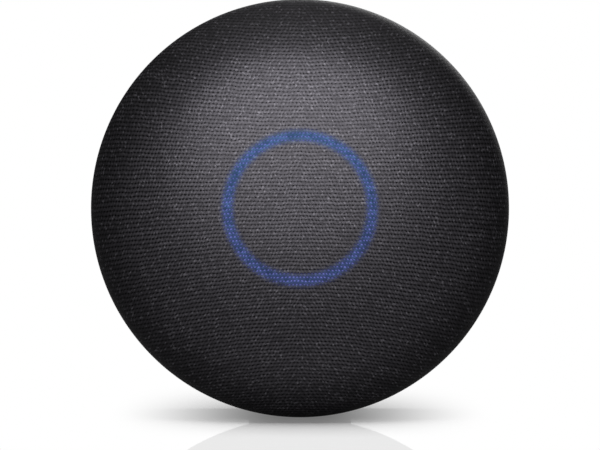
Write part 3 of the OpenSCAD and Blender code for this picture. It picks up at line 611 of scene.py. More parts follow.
def rubber_finish(name, colour, roughness=0.72):
    """Matte moulded rubber with bloom and caught dust."""
    f = Finish(name, Specular_IOR_Level=0.35)
    soft, worn = f.edges(0.00025)
    bloom = f.noise(60, 4.0, 0.6)
    specks = f.remap(f.noise(1500, 3.0, 0.75), 0.63, 0.72, 0.0, 0.5)
    dusty = f.blend(specks, colour, (0.11, 0.108, 0.105))
    pale = f.blend(worn * 0.3, dusty, [c * 1.9 + 0.01 for c in colour])
    return f.set(
        Base_Color=f.shade(pale, f.spread(bloom, 0.8, 1.25)),
        Roughness=f.spread(bloom, roughness - 0.07, roughness + 0.08),
        Normal=f.bump(f.noise(2600, 3.0, 0.6), 0.00004, soft),
    )


def diffuser_finish(light):
    """Opal plastic, lit from behind by the ring of lamps."""
    f = Finish("opal_diffuser", Roughness=0.42, IOR=1.58, Subsurface_Weight=0.35, Subsurface_Scale=0.002)
    f.material.cycles.emission_sampling = "NONE"
    lamps = f.cos(f.polar()[1] * float(LAMPS))
    haze = f.noise(700, 3.0)
    return f.set(
        Base_Color=f.tones(haze, (0.62, 0.7, 0.84), (0.74, 0.81, 0.93)),
        Emission_Color=(*light.glow, 1),
        Emission_Strength=f.remap(lamps, -1, 1, 0.55, 1.0) * f.spread(haze, 0.9, 1.1),
        Normal=f.bump(f.noise(5000), 0.00001),
    )


def brick_lines(f, scale, gap, soft, width, height):
    """A flat pattern of lanes over the disc: the place on it, and 0 to 1 in the gaps."""
    flat = f.join(*f.axes()[:2])
    sizes = {"Mortar_Size": gap, "Mortar_Smooth": soft, "Brick_Width": width, "Row_Height": height}
    return flat, f.out("ShaderNodeTexBrick", 1, Vector=flat, Scale=scale, **sizes)


def board_finish():
    """Glass-fibre circuit board: solder mask over copper tracks, with tinned pads."""
    f = Finish("circuit_board", IOR=1.5)
    flat, lanes = brick_lines(f, 95.0, 0.045, 0.3, 0.9, 0.09)
    tracks = (1.0 - lanes) * f.remap(f.noise(130, 0.0, place=flat), 0.44, 0.5)
    spots = f.remap(f.cells(430, place=flat, randomness=0.75), 0.2, 0.16)
    groups = f.noise(90, 0.0, place=f.vector("ADD", flat, (3.0, 1.0, 0.0)))
    pads = spots * f.remap(groups, 0.55, 0.6)
    glass = f.out("ShaderNodeTexWave", 1, Vector=flat, Scale=900.0, Distortion=0.6)
    mask = f.blend(tracks, (0.012, 0.06, 0.028), (0.03, 0.13, 0.06))
    return f.set(
        Base_Color=f.blend(pads, f.shade(mask, f.remap(glass, 0, 1, 0.9, 1.06)), (0.62, 0.6, 0.55)),
        Metallic=pads,
        Roughness=f.remap(pads, 0, 1, 0.3, 0.36),
        Normal=f.bump(tracks + pads, 0.00004),
    )


def lamp_finish():
    """Surface-mounted lamp: white body round a disc of yellow phosphor."""
    f = Finish("ring_lamps", Roughness=0.3, IOR=1.5)
    radius, turn = f.polar()
    part = turn * (LAMPS / math.tau)
    aside = (part - f.math("ROUND", part)) * (RING_RADIUS * math.tau / LAMPS)
    phosphor = f.remap(f.span(aside, radius - RING_RADIUS), 0.00125, 0.00115)
    body = f.blend(phosphor, (0.82, 0.81, 0.78), (0.82, 0.72, 0.2))
    return f.set(
        Base_Color=f.shade(body, f.spread(f.noise(6000), 0.85, 1.1)),
        Normal=f.bump(1.0 - phosphor, 0.00015),
    )


def plated_finish(name, colour, roughness=0.32, brushed=(1, 1, 1), depth=0.00001, stain=0.2):
    """Plated or bare metal with drawn lines, cloudy passivation and brighter edges."""
    f = Finish(name, Metallic=1.0)
    soft, worn = f.edges(0.00015)
    drawn = f.noise(900, 4.0, 0.6, place=f.vector("MULTIPLY", f.place, brushed))
    cloudy = f.noise(160, 4.0, 0.65)
    tone = f.spread(cloudy, 1 - stain, 1.04) + worn * 0.15
    warm = f.tones(cloudy, colour, (colour[0], colour[1] * 0.95, colour[2] * 0.86), 0.45, 0.75)
    return f.set(
        Base_Color=f.shade(warm, tone * f.spread(drawn, 0.93, 1.05)),
        Roughness=f.spread(cloudy, roughness + 0.06, roughness - 0.05) + worn * -0.08,
        Normal=f.bump(drawn, depth, soft),
    )


def painted_steel_finish():
    """Pressed steel under thin black paint, with orange peel and bare steel on the sharpest edges."""
    f = Finish("painted_steel")
    soft, worn = f.edges(0.0002)
    chips = f.remap(worn, 0.35, 0.7) * f.remap(f.noise(700, 4.0, 0.7), 0.55, 0.6)
    peel = f.noise(1100)
    paint = f.blend(peel, (0.02, 0.02, 0.022), (0.035, 0.035, 0.038))
    return f.set(
        Base_Color=f.blend(chips, paint, (0.45, 0.44, 0.43)),
        Metallic=chips,
        Roughness=f.spread(peel, 0.42, 0.52),
        Normal=f.bump(peel, 0.00003, soft),
    )


def ferrite_finish():
    """Ground ferrite: dull grey-black ceramic with grinding lines, specks and chipped edges."""
    f = Finish("ground_ferrite", IOR=1.7)
    soft, worn = f.edges(0.0003)
    lines = f.noise(500, 3.0, 0.6, place=f.vector("MULTIPLY", f.place, (1.0, 9.0, 9.0)))
    specks = f.remap(f.cells(2600), 0.0, 0.25, 1.0, 0.0)
    chips = worn * f.remap(f.noise(620, 4.0, 0.7), 0.5, 0.6)
    body = f.tones(lines, (0.036, 0.036, 0.04), (0.06, 0.06, 0.065))
    body = f.blend(specks * 0.3, body, (0.16, 0.16, 0.17))
    return f.set(
        Base_Color=f.blend(chips, body, (0.11, 0.11, 0.12)),
        Roughness=f.spread(lines, 0.48, 0.66),
        Normal=f.bump(lines - chips, 0.00004, soft),
    )


def spider_finish():
    """Resin-soaked open cloth, woven square, on the corrugated spring disc."""
    f = Finish("resin_cloth")
    x, y, _ = f.axes()
    threads = f.most(f.bands(x, 0.0007), f.bands(y, 0.0007))
    resin = f.noise(240, 4.0, 0.6)
    tan = f.tones(resin, (0.36, 0.2, 0.055), (0.62, 0.4, 0.14), 0.35, 0.65)
    return f.set(
        Base_Color=f.shade(tan, f.remap(threads, 0.5, 1.0, 0.35, 1.1)),
        Roughness=f.spread(resin, 0.38, 0.62),
        Normal=f.bump(threads, 0.00015),
    )


def pulp_finish():
    """Pressed paper pulp with long fibres and a faint pressed rib every few degrees."""
    f = Finish("pressed_pulp", Specular_IOR_Level=0.3)
    radius, turn = f.polar()
    fibres = f.noise(1500, 5.0, 0.7, distortion=1.6)
    ribs = f.sin(turn * 36.0)
    felt = f.noise(520, 3.0, place=f.join(turn * 0.012, radius))
    pulp = f.tones(fibres, (0.05, 0.05, 0.055), (0.14, 0.14, 0.15), 0.35, 0.65)
    return f.set(
        Base_Color=f.shade(pulp, f.spread(felt, 0.85, 1.15)),
        Roughness=f.spread(fibres, 0.78, 0.92),
        Normal=f.bump(fibres + ribs * 0.25, 0.00012),
    )


def copper_finish():
    """Close turns of lacquered copper wire."""
    f = Finish("wound_copper", Metallic=1.0, Coat_Weight=0.5, Coat_Roughness=0.2)
    wires = f.bands(f.axes()[2], 0.00022)
    age = f.noise(300, 3.0)
    wire = f.blend(age, (0.5, 0.19, 0.075), (0.8, 0.4, 0.2))
    return f.set(
        Base_Color=f.shade(wire, f.remap(wires, 0, 1, 0.25, 1.0)),
        Roughness=f.spread(age, 0.24, 0.38),
        Normal=f.bump(wires, 0.0001),
    )


def sleeve_finish():
    """Silicone-sleeved lead with a slight bloom."""
    f = Finish("lead_sleeve", IOR=1.43)
    bloom = f.noise(420, 3.0)
    return f.set(
        Base_Color=f.tones(bloom, (0.3, 0.012, 0.012), (0.46, 0.03, 0.028)),
        Roughness=f.spread(bloom, 0.36, 0.5),
        Normal=f.bump(f.noise(3000), 0.00002),
    )


def turned_finish():
    """Turned steel weight with fine circular tool marks about its own middle."""
    f = Finish("turned_weight", Metallic=1.0)
    low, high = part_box("right_radiator_plate")
    x, y, _ = f.axes()
    near = abs(x) - abs((low + high)[0]) / 2
    marks = f.sin(f.span(near, y) * (math.tau / 0.00024))
    cloudy = f.noise(260, 4.0, 0.6)
    steel = f.blend(cloudy, (0.47, 0.48, 0.5), (0.6, 0.61, 0.63))
    return f.set(
        Base_Color=f.shade(steel, f.remap(marks, -1, 1, 0.88, 1.05)),
        Roughness=f.spread(cloudy, 0.22, 0.34),
        Normal=f.bump(marks, 0.000012, f.edges(0.00015)[0]),
    )


def pad_finish():
    """Soft heat-conducting pad, tacky and slightly dimpled."""
    f = Finish("heat_pad", Roughness=0.6, Subsurface_Weight=0.15, Subsurface_Scale=0.0015)
    dimples = f.cells(900, "SMOOTH_F1")
    return f.set(
        Base_Color=f.tones(dimples, (0.19, 0.32, 0.5), (0.28, 0.44, 0.64), 0.1, 0.7),
        Normal=f.bump(dimples, 0.00005),
    )


def chip_finish():
    """Moulded epoxy package with a fine grain."""
    f = Finish("epoxy_package", IOR=1.55)
    soft, worn = f.edges(0.0001)
    grit = f.noise(9000, 3.0, 0.7)
    return f.set(
        Base_Color=f.tones(grit, (0.011, 0.011, 0.012), (0.024, 0.024, 0.025)),
        Roughness=f.spread(grit, 0.46, 0.6) + worn * -0.12,
        Normal=f.bump(grit, 0.00001, soft),
    )


def capacitor_finish():
    """Shrink-sleeved can: dark blue film, with the bare aluminium end showing."""
    f = Finish("capacitor_can")
    facing = f.out("ShaderNodeNewGeometry", "True Normal")
    bare = f.remap(f.vector("DOT_PRODUCT", facing, tuple(FRONT)), 0.75, 0.85)
    ripple = f.noise(420, 3.0)
    film = f.tones(ripple, (0.03, 0.045, 0.13), (0.05, 0.075, 0.2), 0.35, 0.65)
    return f.set(
        Base_Color=f.blend(bare, film, (0.68, 0.69, 0.7)),
        Metallic=bare,
        Roughness=f.spread(ripple, 0.24, 0.36),
        Normal=f.bump(ripple, 0.00004, f.edges(0.0002)[0]),
    )


def ribbon_finish():
    """Flat flexible cable: parallel conductors under clear amber-white film."""
    f = Finish("flat_cable", Coat_Weight=0.4, Coat_Roughness=0.15)
    lanes = f.bands(f.axes()[0], 0.0005)
    metal = f.remap(lanes, 0.45, 0.6)
    strip = f.blend(metal, (0.72, 0.7, 0.64), (0.55, 0.54, 0.5))
    return f.set(
        Base_Color=f.shade(strip, f.spread(f.noise(500, 3.0), 0.9, 1.05)),
        Roughness=f.remap(metal, 0, 1, 0.45, 0.3),
        Normal=f.bump(lanes, 0.00004),
    )


def antenna_finish():
    """Etched copper path on amber film."""
    f = Finish("etched_antenna")
    _, path = brick_lines(f, 60.0, 0.06, 0.1, 0.2, 0.12)
    age = f.noise(700, 3.0)
    film = f.blend(path, (0.4, 0.19, 0.03), (0.75, 0.4, 0.2))
    return f.set(
        Base_Color=f.shade(film, f.spread(age, 0.85, 1.08)),
        Metallic=path,
        Roughness=f.spread(age, 0.26, 0.4),
        Normal=f.bump(path, 0.00003),
    )


# ---------- pieces ----------


class Step:
    """What the speaker's operators share."""

    bl_options = {"REGISTER", "UNDO"}


class SPEAKER_OT_cloth_skin(Step, bpy.types.Operator):
    """Stretch the woven cloth over the grille and turn it in behind the rim"""

    bl_idname = "speaker.cloth_skin"
    bl_label = "Cloth Skin"

    def execute(self, context):
        settings = context.scene.speaker
        cloth = settings.cloth
        t = Shape(
            "Cloth Skin",
            Radius=DISC_RADIUS,
            Dome_Height=DOME_HEIGHT,
            Dome_Power=cloth.dome_power,
            Back_Radius=cloth.back_radius,
            Back_Depth=cloth.back_depth,
            Wrap_Depth=WRAP_DEPTH,
            Fold_Radius=cloth.thickness,
            Hem=cloth.hem,
            Rings=cloth.rings + 1,
            Segments=cloth.segments + 1,
        )
        grid, along, turn = t.grid()
        # Dome, from the middle out
        rise = (1.0 - t.remap(along, 0.0, DOME_END)) * (math.pi / 2)
        power = 2.0 / t["Dome Power"]
        dome_r, dome_z = (
            t[size] * t.most(wave(rise), 0.0) ** power
            for size, wave in (("Radius", t.cos), ("Dome Height", t.sin))
        )
        # Wrap round the rim, then the fold and the hem
        reach = (t["Wrap Depth"] - t["Fold Radius"]) / t["Back Depth"]
        wrap = t.remap(along, DOME_END, WRAP_END) * t.math("ARCSINE", reach)
        fold = t.remap(along, WRAP_END, FOLD_END) * (math.pi / 2)
        wrap_r = (t["Radius"] - t["Back Radius"]) * (t.cos(wrap) - 1.0)
        fold_r = t["Fold Radius"] * (t.cos(fold) - 1.0)
        hem = t.remap(along, FOLD_END, 1.0) * t["Hem"]
        radius = dome_r + wrap_r + (fold_r - hem)
        back = t["Back Depth"] * t.sin(wrap) + t["Fold Radius"] * t.sin(fold)
        kept = t.geo("StoreNamedAttribute", Geometry=grid, Name="along", Value=along)
        wound = t.wind(kept, radius, dome_z - back, turn)
        t.close(wound, cloth_finish(cloth, settings.light))
        piece = t.run("cloth_front", DISC)
        cut = self.lay_weave(piece.data, cloth)
        thick = piece.modifiers.new("Thickness", "SOLIDIFY")
        thick.thickness, thick.offset, thick.use_even_offset = cloth.thickness, -1, True
        skin, mine = node_points("cloth_skin"), disc_points(piece.data, MIDDLE)
        if np.abs([skin.min(0) - mine.min(0), skin.max(0) - mine.max(0)]).max() > CLOTH_SLACK:
            raise RuntimeError("the cloth doesn't match the frame's cloth solid")
        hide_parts("cloth_skin")
        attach(piece, "housing")
        return {"FINISHED"}

    def lay_weave(self, mesh, cloth):
        """Maps threads and rows along the cloth from its middle, and gives the cut cloth's radius.

        The rows bow, as they do where the cloth is pulled over the dome.
        """
        points = disc_points(mesh, MIDDLE)
        radii = spans(points)
        along = np.array([entry.value for entry in mesh.attributes["along"].data])
        place = np.round(along * cloth.rings).astype(int)
        stations, first = np.unique(place, return_index=True)
        steps = np.hypot(np.diff(radii[first]), np.diff(points[first, 2]))
        reach = np.concatenate([[0.0], np.cumsum(steps)])
        arc = reach[np.searchsorted(stations, place)]
        scale = np.where(radii > WELD, arc / np.maximum(radii, WELD), 1.0) / DISC_RADIUS
        right, up = points[:, 0] * scale, points[:, 1] * scale
        u = right / (1 + cloth.bow * up**2) * DISC_RADIUS / cloth.thread_pitch
        # Share of the radius by which the flattest row lies over the middle
        flattest = 0.14
        v = (up - flattest) / (1 + cloth.bow * right**2) * DISC_RADIUS / cloth.row_pitch
        layer = mesh.uv_layers.new(name="weave")
        corners = np.empty(len(mesh.loops), int)
        mesh.loops.foreach_get("vertex_index", corners)
        layer.data.foreach_set("uv", np.stack([u[corners], v[corners]], 1).astype(np.float32).ravel())
        mesh.attributes.remove(mesh.attributes["along"])
        return float(reach[-1]) * UNSTRETCHED


class SPEAKER_OT_screws(Step, bpy.types.Operator):
    """Screws with a star drive in the wells of the rear shell"""

    bl_idname = "speaker.screws"
    bl_label = "Shell Screws"

    def execute(self, context):
        screws = context.scene.speaker.screws
        points = node_points("shell_screws")
        reach = spans(points)
        top, tip = float(points[:, 2].min()), float(points[:, 2].max())
        base = self.screw(screws, float(reach.max() - reach.min()) / 2, tip - top)
        t = Shape(
            "Shell Screws",
            Ring_Radius=float(reach.max() + reach.min()) / 2,
            Places=screws.places,
            First_Angle=screws.first_angle,
            Left_Out=screws.left_out,
            Top=top,
            Seed=3,
            Screw=base,
        )
        circle = t.geo("MeshCircle", Vertices=t["Places"], Radius=t["Ring Radius"])
        turned = t.geo("Transform", Geometry=circle, Rotation=t.join(z=t["First Angle"]))
        pair = (t.geo("InputIndex"), t["Left Out"])
        empty = t.fill("FunctionNodeCompare", pair, only="INT", data_type="INT", operation="EQUAL")
        kept = t.geo("DeleteGeometry", Geometry=t.geo("MeshToPoints", Mesh=turned), Selection=empty)
        lifted = t.geo("SetPosition", Geometry=kept, Offset=t.join(z=t["Top"]))
        spin = t.fill("FunctionNodeRandomValue", (0.0, math.tau), 1, "VALUE", Seed=t["Seed"])
        source = t.out("GeometryNodeObjectInfo", "Geometry", Object=t["Screw"])
        laid = t.geo("InstanceOnPoints", Points=lifted, Instance=source, Rotation=t.join(z=spin))
        t.close(laid, plated_finish("blackened_screw", (0.16, 0.16, 0.17), 0.34))
        piece = t.run("shell_screw_set", DISC)
        bpy.data.objects.remove(base)
        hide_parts("shell_screws")
        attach(piece, "housing")
        return {"FINISHED"}

    def screw(self, screws, head, tip):
        """One screw with its head's top at the origin and its shank along Z."""
        lobes, depth, points = 6, 0.17, 48
        rim, bevel, chamfer = 0.00014, 0.00012, 0.00015
        neck, shank = screws.head_height, screws.shank
        steps = [math.tau * k / points for k in range(points)]
        star = [screws.drive * (1 + depth * math.cos(lobes * a)) for a in steps]
        # The drive, from its floor up, then the head's crown and edge
        rings = [([r * 0.9 for r in star], neck * 0.62), (star, bevel), ([r + rim for r in star], 0.0)]
        profile = [(head * 0.72, 0.0), (head * 0.86, bevel), (head * 0.95, 0.0004), (head, 0.0009)]
        profile += [(head, neck - chamfer), (head - chamfer, neck), (shank, neck)]
        for k in range(int((tip - neck - 0.001) / screws.thread) * 2):
            profile.append((shank * (1.0 if k % 2 else 0.82), neck + 0.0003 + k * screws.thread / 2))
        profile += [(shank * 0.8, tip - 0.0004), (shank * 0.55, tip)]
        rings += [([r] * points, z) for r, z in profile]
        shape = bmesh.new()
        rows = []
        for radii, z in rings:
            ring = [(r * math.cos(a), r * math.sin(a), z) for a, r in zip(steps, radii)]
            rows.append([shape.verts.new(point) for point in ring])
        for inner, outer in zip(rows, rows[1:]):
            bridge(shape, inner, outer)
        for row, z in ((rows[0], neck * 0.7), (rows[-1], tip)):
            middle = shape.verts.new((0, 0, z))
            for k in range(points):
                shape.faces.new((row[k], row[(k + 1) % points], middle))
        bmesh.ops.recalc_face_normals(shape, faces=shape.faces)
        mesh = bpy.data.meshes.new("screw_base")
        shape.to_mesh(mesh)
        shape.free()
        mesh.shade_smooth()
        mesh.set_sharp_from_angle(angle=math.radians(35))
        return bpy.data.objects.new("screw_base", mesh)


class SPEAKER_OT_toe(Step, bpy.types.Operator):
    """Ribbed rubber toe on the end of the leg"""

    bl_idname = "speaker.toe"
    bl_label = "Ribbed Toe"

    def execute(self, context):
        settings = context.scene.speaker
        toe = settings.toe
        outline, place, width = self.outline()
        t = Shape(
            "Ribbed Toe",
            Width=width,
            Rib_Pitch=toe.rib_pitch,
            Groove_Depth=toe.groove_depth,
            Plain_Length=toe.plain_length,
            Slot_Width=width - SLOT_WALLS,
            Slot_Height=toe.slot_height,
            Slot_Length=toe.slot_length,
        )
        curve = t.geo("MeshToCurve", Mesh=t["Geometry"])
        fine = t.geo("ResampleCurve", mode="LENGTH", Curve=curve, Length=t["Rib Pitch"] / 10.0)
        along = t.apart(t.geo("InputPosition"))[0]
        run = t.out("GeometryNodeSplineParameter", "Length")
        wave = t.cos(run / t["Rib Pitch"] * math.tau)
        groove = t.remap(wave, 0.1, 0.75, smooth=True)
        ribbed = t.remap(along, t["Plain Length"], t["Plain Length"] + RIB_START, smooth=True)
        inward = t.vector("CROSS_PRODUCT", t.geo("InputTangent"), (0.0, 0.0, -1.0))
        depth = groove * ribbed * t["Groove Depth"]
        dig = t.out("ShaderNodeVectorMath", operation="SCALE", Vector=inward, Scale=depth)
        cut = t.geo("SetPosition", Geometry=fine, Offset=dig)
        cap = t.geo("FillCurve", mode="NGONS", Curve=cut)
        away = {"Offset": (0.0, 0.0, 1.0), "Offset_Scale": t["Width"], "Individual": False}
        both = t.add("GeometryNodeJoinGeometry")
        for part in (t.geo("ExtrudeMesh", mode="FACES", Mesh=cap, **away), t.geo("FlipFaces", Mesh=cap)):
            t.put(both.inputs[0], part)
        solid = t.geo("MergeByDistance", Geometry=Value(t, both.outputs[0]), Distance=WELD)
        slot = t.join(t["Slot Length"] * 2.0, t["Slot Height"], t["Slot Width"])
        halfway = t.join(z=t["Width"] / 2.0)
        tongue = t.geo("Transform", Geometry=t.geo("MeshCube", Size=slot), Translation=halfway)
        hollow = t.geo("MeshBoolean", operation="DIFFERENCE", solver="EXACT", Mesh_1=solid, Mesh_2=tongue)
        t.close(hollow, rubber_finish("ribbed_rubber", settings.colours.rubber))
        piece = t.run("leg_toe", place, outline)
        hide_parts("stand_toe")
        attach(piece, "leg")
        return {"FINISHED"}

    def outline(self):
        """The toe's side outline as a closed loop in its own plane, its place, and its width."""
        shape = bmesh.new()
        shape.from_mesh(NODES["stand_toe"].data)
        bmesh.ops.remove_doubles(shape, verts=shape.verts, dist=WELD)
        left = min(v.co.x for v in shape.verts)
        width = max(v.co.x for v in shape.verts) - left
        side = {f for f in shape.faces if all(abs(v.co.x - left) < 1e-5 for v in f.verts)}
        rim = [e for e in shape.edges if sum(f in side for f in e.link_faces) == 1]
        links = {}
        for edge in rim:
            for one, other in (edge.verts, reversed(edge.verts)):
                links.setdefault(one, []).append(other)
        start = rim[0].verts[0]
        loop, last = [start], None
        while True:
            step = next((v for v in links[loop[-1]] if v is not last), None)
            last = loop[-1]
            if step is None or step is start:
                break
            loop.append(step)
        points = [v.co.copy() for v in loop]
        shape.free()
        low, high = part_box("hinge_pin")
        flats = zip(points, points[1:] + points[:1])
        first, second = max(flats, key=lambda pair: (pair[1] - pair[0]).length)
        along = (second - first).normalized()
        if along.dot(points[0] - (low + high) / 2) < 0:
            along.negate()
        thick = ACROSS.cross(along)
        heights = [p.dot(thick) for p in points]
        origin = along * min(p.dot(along) for p in points)
        origin += thick * (max(heights) + min(heights)) / 2 + ACROSS * left
        flat = [((p - origin).dot(along), (p - origin).dot(thick), 0.0) for p in points]
        if sum(a[0] * b[1] - a[1] * b[0] for a, b in zip(flat, flat[1:] + flat[:1])) < 0:
            flat.reverse()
        mesh = bpy.data.meshes.new("toe_outline")
        mesh.from_pydata(flat, [(k, (k + 1) % len(flat)) for k in range(len(flat))], [])
        place = Matrix.Translation(origin) @ Matrix((along, thick, ACROSS)).transposed().to_4x4()
        return mesh, place, width


class SPEAKER_OT_key_marks(Step, bpy.types.Operator):
    """Raised plus, minus and dot on the three keys"""

    bl_idname = "speaker.key_marks"
    bl_label = "Key Marks"

    def execute(self, context):
        settings = context.scene.speaker
        marks = settings.marks
        material = moulded_finish("key_mark", settings.colours.marks, 0.45, 0.0002, 0.000006, 0.00005)
        arm, half = marks.length / 2, marks.stroke / 2
        bar = [(-arm, -half), (arm, -half), (arm, half), (-arm, half)]
        # One arm of the plus, turned three times
        corner = [(half, half), (half, arm), (-half, arm)]
        cross = []
        for _ in range(4):
            cross += corner
            corner = [(-y, x) for x, y in corner]
        turns = [math.tau * k / 40 for k in range(40)]
        dot = [(marks.dot / 2 * math.cos(a), marks.dot / 2 * math.sin(a)) for a in turns]
        for node, body, outline in (
            ("volume_up_key", "volume_up", cross),
            ("volume_down_key", "volume_down", bar),
            ("action_key", "action", dot),
        ):
            piece = self.mark(node, self.closer(outline, marks.step), marks)
            piece.data.materials.append(material)
            piece.data.shade_smooth()
            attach(piece, body)
        return {"FINISHED"}

    def closer(self, outline, step):
        """The outline with more points along each long side."""
        points = []
        for a, b in zip(outline, outline[1:] + outline[:1]):
            count = max(1, round(math.dist(a, b) / step))
            shares = [k / count for k in range(count)]
            points += [(a[0] + (b[0] - a[0]) * s, a[1] + (b[1] - a[1]) * s) for s in shares]
        return points

    def mark(self, node, outline, marks):
        """The outline laid on the key's top and raised from it."""
        mesh = NODES[node].data
        faces = [tuple(p.vertices) for p in mesh.polygons]
        tree = BVHTree.FromPolygons([v.co for v in mesh.vertices], faces)
        points = node_points(node)
        x, y, z = (points.min(0) + points.max(0)) / 2
        out = (ACROSS * x + UP * y).normalized()
        # Rays start this far out: the first from the key's middle, the others from its top
        far, near = 0.02, 0.005
        centre, normal, _, _ = tree.ray_cast(DISC @ Vector((x, y, z)) + out * far, -out)
        if centre is None:
            raise RuntimeError(f"no top found on {node}")
        if normal.dot(out) < 0:
            normal = -normal
        across = normal.cross(FRONT).normalized()
        away = across.cross(normal)
        shape = bmesh.new()
        rows = []
        root = -0.0001
        for lift, shrink in ((root, 0.0), (marks.height - marks.soften, 0.0), (marks.height, marks.soften)):
            row = []
            for a, b in self.inset(outline, shrink):
                hit = tree.ray_cast(centre + across * a + away * b + normal * near, -normal)[0]
                if hit is None:
                    raise RuntimeError(f"the mark runs off {node}")
                row.append(shape.verts.new(hit + normal * lift))
            rows.append(row)
        for low, high in zip(rows, rows[1:]):
            bridge(shape, low, high)
        for row in (rows[0], rows[-1]):
            rim = [shape.edges.get((row[k - 1], row[k])) for k in range(len(row))]
            bmesh.ops.triangle_fill(shape, use_beauty=True, edges=rim)
        bmesh.ops.recalc_face_normals(shape, faces=shape.faces)
        return new_piece(node.replace("key", "mark"), shape)

    def inset(self, outline, amount):
        """The outline, counter-clockwise, moved inwards."""
        moved = []
        for before, point, after in zip(outline[-1:] + outline[:-1], outline, outline[1:] + outline[:1]):
            sx = sy = 0.0
            for a, b in ((before, point), (point, after)):
                size = math.dist(a, b)
                sx += (a[1] - b[1]) / size
                sy += (b[0] - a[0]) / size
            scale = 2 * amount / (sx * sx + sy * sy)
            moved.append((point[0] + sx * scale, point[1] + sy * scale))
        return moved


class SPEAKER_OT_suspension(Step, bpy.types.Operator):
    """Rolls and spring disc that flex between the frame and the moving parts"""

    bl_idname = "speaker.suspension"
    bl_label = "Suspension"

    def execute(self, context):
        settings = context.scene.speaker
        sizes = settings.suspension
        rubber = rubber_finish("roll_rubber", settings.colours.rubber, 0.6)
        roll = (sizes.roll_thickness, sizes.roll_lip, 1, 1.0, rubber, "soft_rubber")
        disc = (sizes.disc_thickness, sizes.disc_lip, sizes.waves, 0.0, spider_finish(), "spider_cloth")
        for name, node, body, make in (
            ("cone_roll", "driver_surround", "cone", roll),
            ("cone_spring_disc", "driver_spider", "cone", disc),
            ("left_radiator_roll", "left_radiator_surround", "left_radiator", roll),
            ("right_radiator_roll", "right_radiator_surround", "right_radiator", roll),
        ):
            self.ring(sizes, name, node, body, *make)
        return {"FINISHED"}

    def ring(self, sizes, name, node, body, thickness, lip, waves, arch, material, slot):
        """A round flexing piece in the node's place, fixed to the housing outside and the body inside."""
        points = node_points(node)
        low, high = points.min(0), points.max(0)
        middle = (low + high) / 2
        radii = spans(points, middle)
        inner, outer = float(radii.min()), float(radii.max())
        t = Shape(
            "Flexing Ring",
            Inner_Radius=inner,
            Outer_Radius=outer,
            Lip=lip,
            Waves=waves,
            Arch=arch,
            Height=float(high[2] - low[2]) - thickness,
            Rings=sizes.rings + 1,
            Segments=sizes.segments + 1,
        )
        grid, along, turn = t.grid()
        across = t.remap(along, LIP_SHARE, 1 - LIP_SHARE)
        # A roll is half round, so its points are spaced by angle; the corrugations are spaced evenly
        bent = (1.0 - t.cos(across * math.pi)) * 0.5
        share = t.fill("ShaderNodeMix", (t["Arch"], across, bent), only="VALUE")
        start, flank = t["Inner Radius"] + t["Lip"], t["Outer Radius"] - t["Lip"]
        lips = t.remap(along, 0.0, LIP_SHARE, -1.0, 0.0) + t.remap(along, 1 - LIP_SHARE, 1.0)
        radius = t.remap(share, 0, 1, start, flank) + lips * t["Lip"]
        wave = t.bands(across * t["Waves"])
        height = wave ** (2.0 - t["Arch"]) * t["Height"]
        t.close(t.wind(grid, radius, height, turn), material)
        seat = DISC @ Vector((middle[0], middle[1], low[2] + thickness / 2))
        piece = t.run(name, Matrix.Translation(seat - MIDDLE) @ DISC)
        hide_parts(node)
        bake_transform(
            piece, "housing", body, start=seat + ACROSS * (outer - lip), end=seat + ACROSS * (inner + lip)
        )
        # The share of each body goes by the distance from the middle, alike all round
        reach = spans(disc_points(piece.data, seat))
        share = np.clip((outer - lip - reach) / (outer - inner - 2 * lip), 0, 1)
        weights = piece.data.attributes["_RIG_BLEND"].data
        weights.foreach_set("value", (share * share * (3 - 2 * share)).astype(np.float32))
        thick = piece.modifiers.new("Thickness", "SOLIDIFY")
        thick.thickness, thick.offset = thickness, 0


class SPEAKER_OT_finishes(Step, bpy.types.Operator):
    """Give each part of the frame the finish of its material slot"""

    bl_idname = "speaker.finishes"
    bl_label = "Part Finishes"

    def execute(self, context):
        settings = context.scene.speaker
        colours = settings.colours
        finishes = {
            "cloth": rubber_finish("cloth_backing", (0.02, 0.02, 0.02)),
            "black_plastic": moulded_finish("black_moulding", colours.inner, 0.56, 0.0006),
            "grey_plastic": moulded_finish("shell_moulding", colours.shell, 0.5, 0.00042, dust=0.25),
            "key_plastic": moulded_finish("key_moulding", colours.keys, 0.42, 0.0003, 0.000012, 0.00035),
            "diffuser": diffuser_finish(settings.light),
            "white_plastic": moulded_finish("white_moulding", (0.74, 0.74, 0.73), 0.5, 0.0005),
            "board": board_finish(),
            "led": lamp_finish(),
            "steel": plated_finish("zinc_plated", (0.56, 0.56, 0.57)),
            "dark_steel": painted_steel_finish(),
            "soft_rubber": rubber_finish("moulded_rubber", colours.rubber),
            "ferrite": ferrite_finish(),
            "spider_cloth": spider_finish(),
            "cone_paper": pulp_finish(),
            "copper": copper_finish(),
            "lead_sleeve": sleeve_finish(),
            "weight": turned_finish(),
            "pad": pad_finish(),
            "spreader": plated_finish(
                "anodised_spreader", (0.5, 0.5, 0.52), 0.4, (1, 0.06, 0.06), 0.000015, 0.1
            ),
            "chip": chip_finish(),
            "capacitor": capacitor_finish(),
            "ribbon": ribbon_finish(),
            "antenna": antenna_finish(),
        }
        slots = {part["node"]: part["material_slot"] for part in frame["record"]["subparts"]}
        for name, node in NODES.items():
            material = finishes[slots[name]]
            if not node.material_slots:
                node.data.materials.append(material)
            for place in node.material_slots:
                place.material = material
        return {"FINISHED"}


# ---------- stage ----------


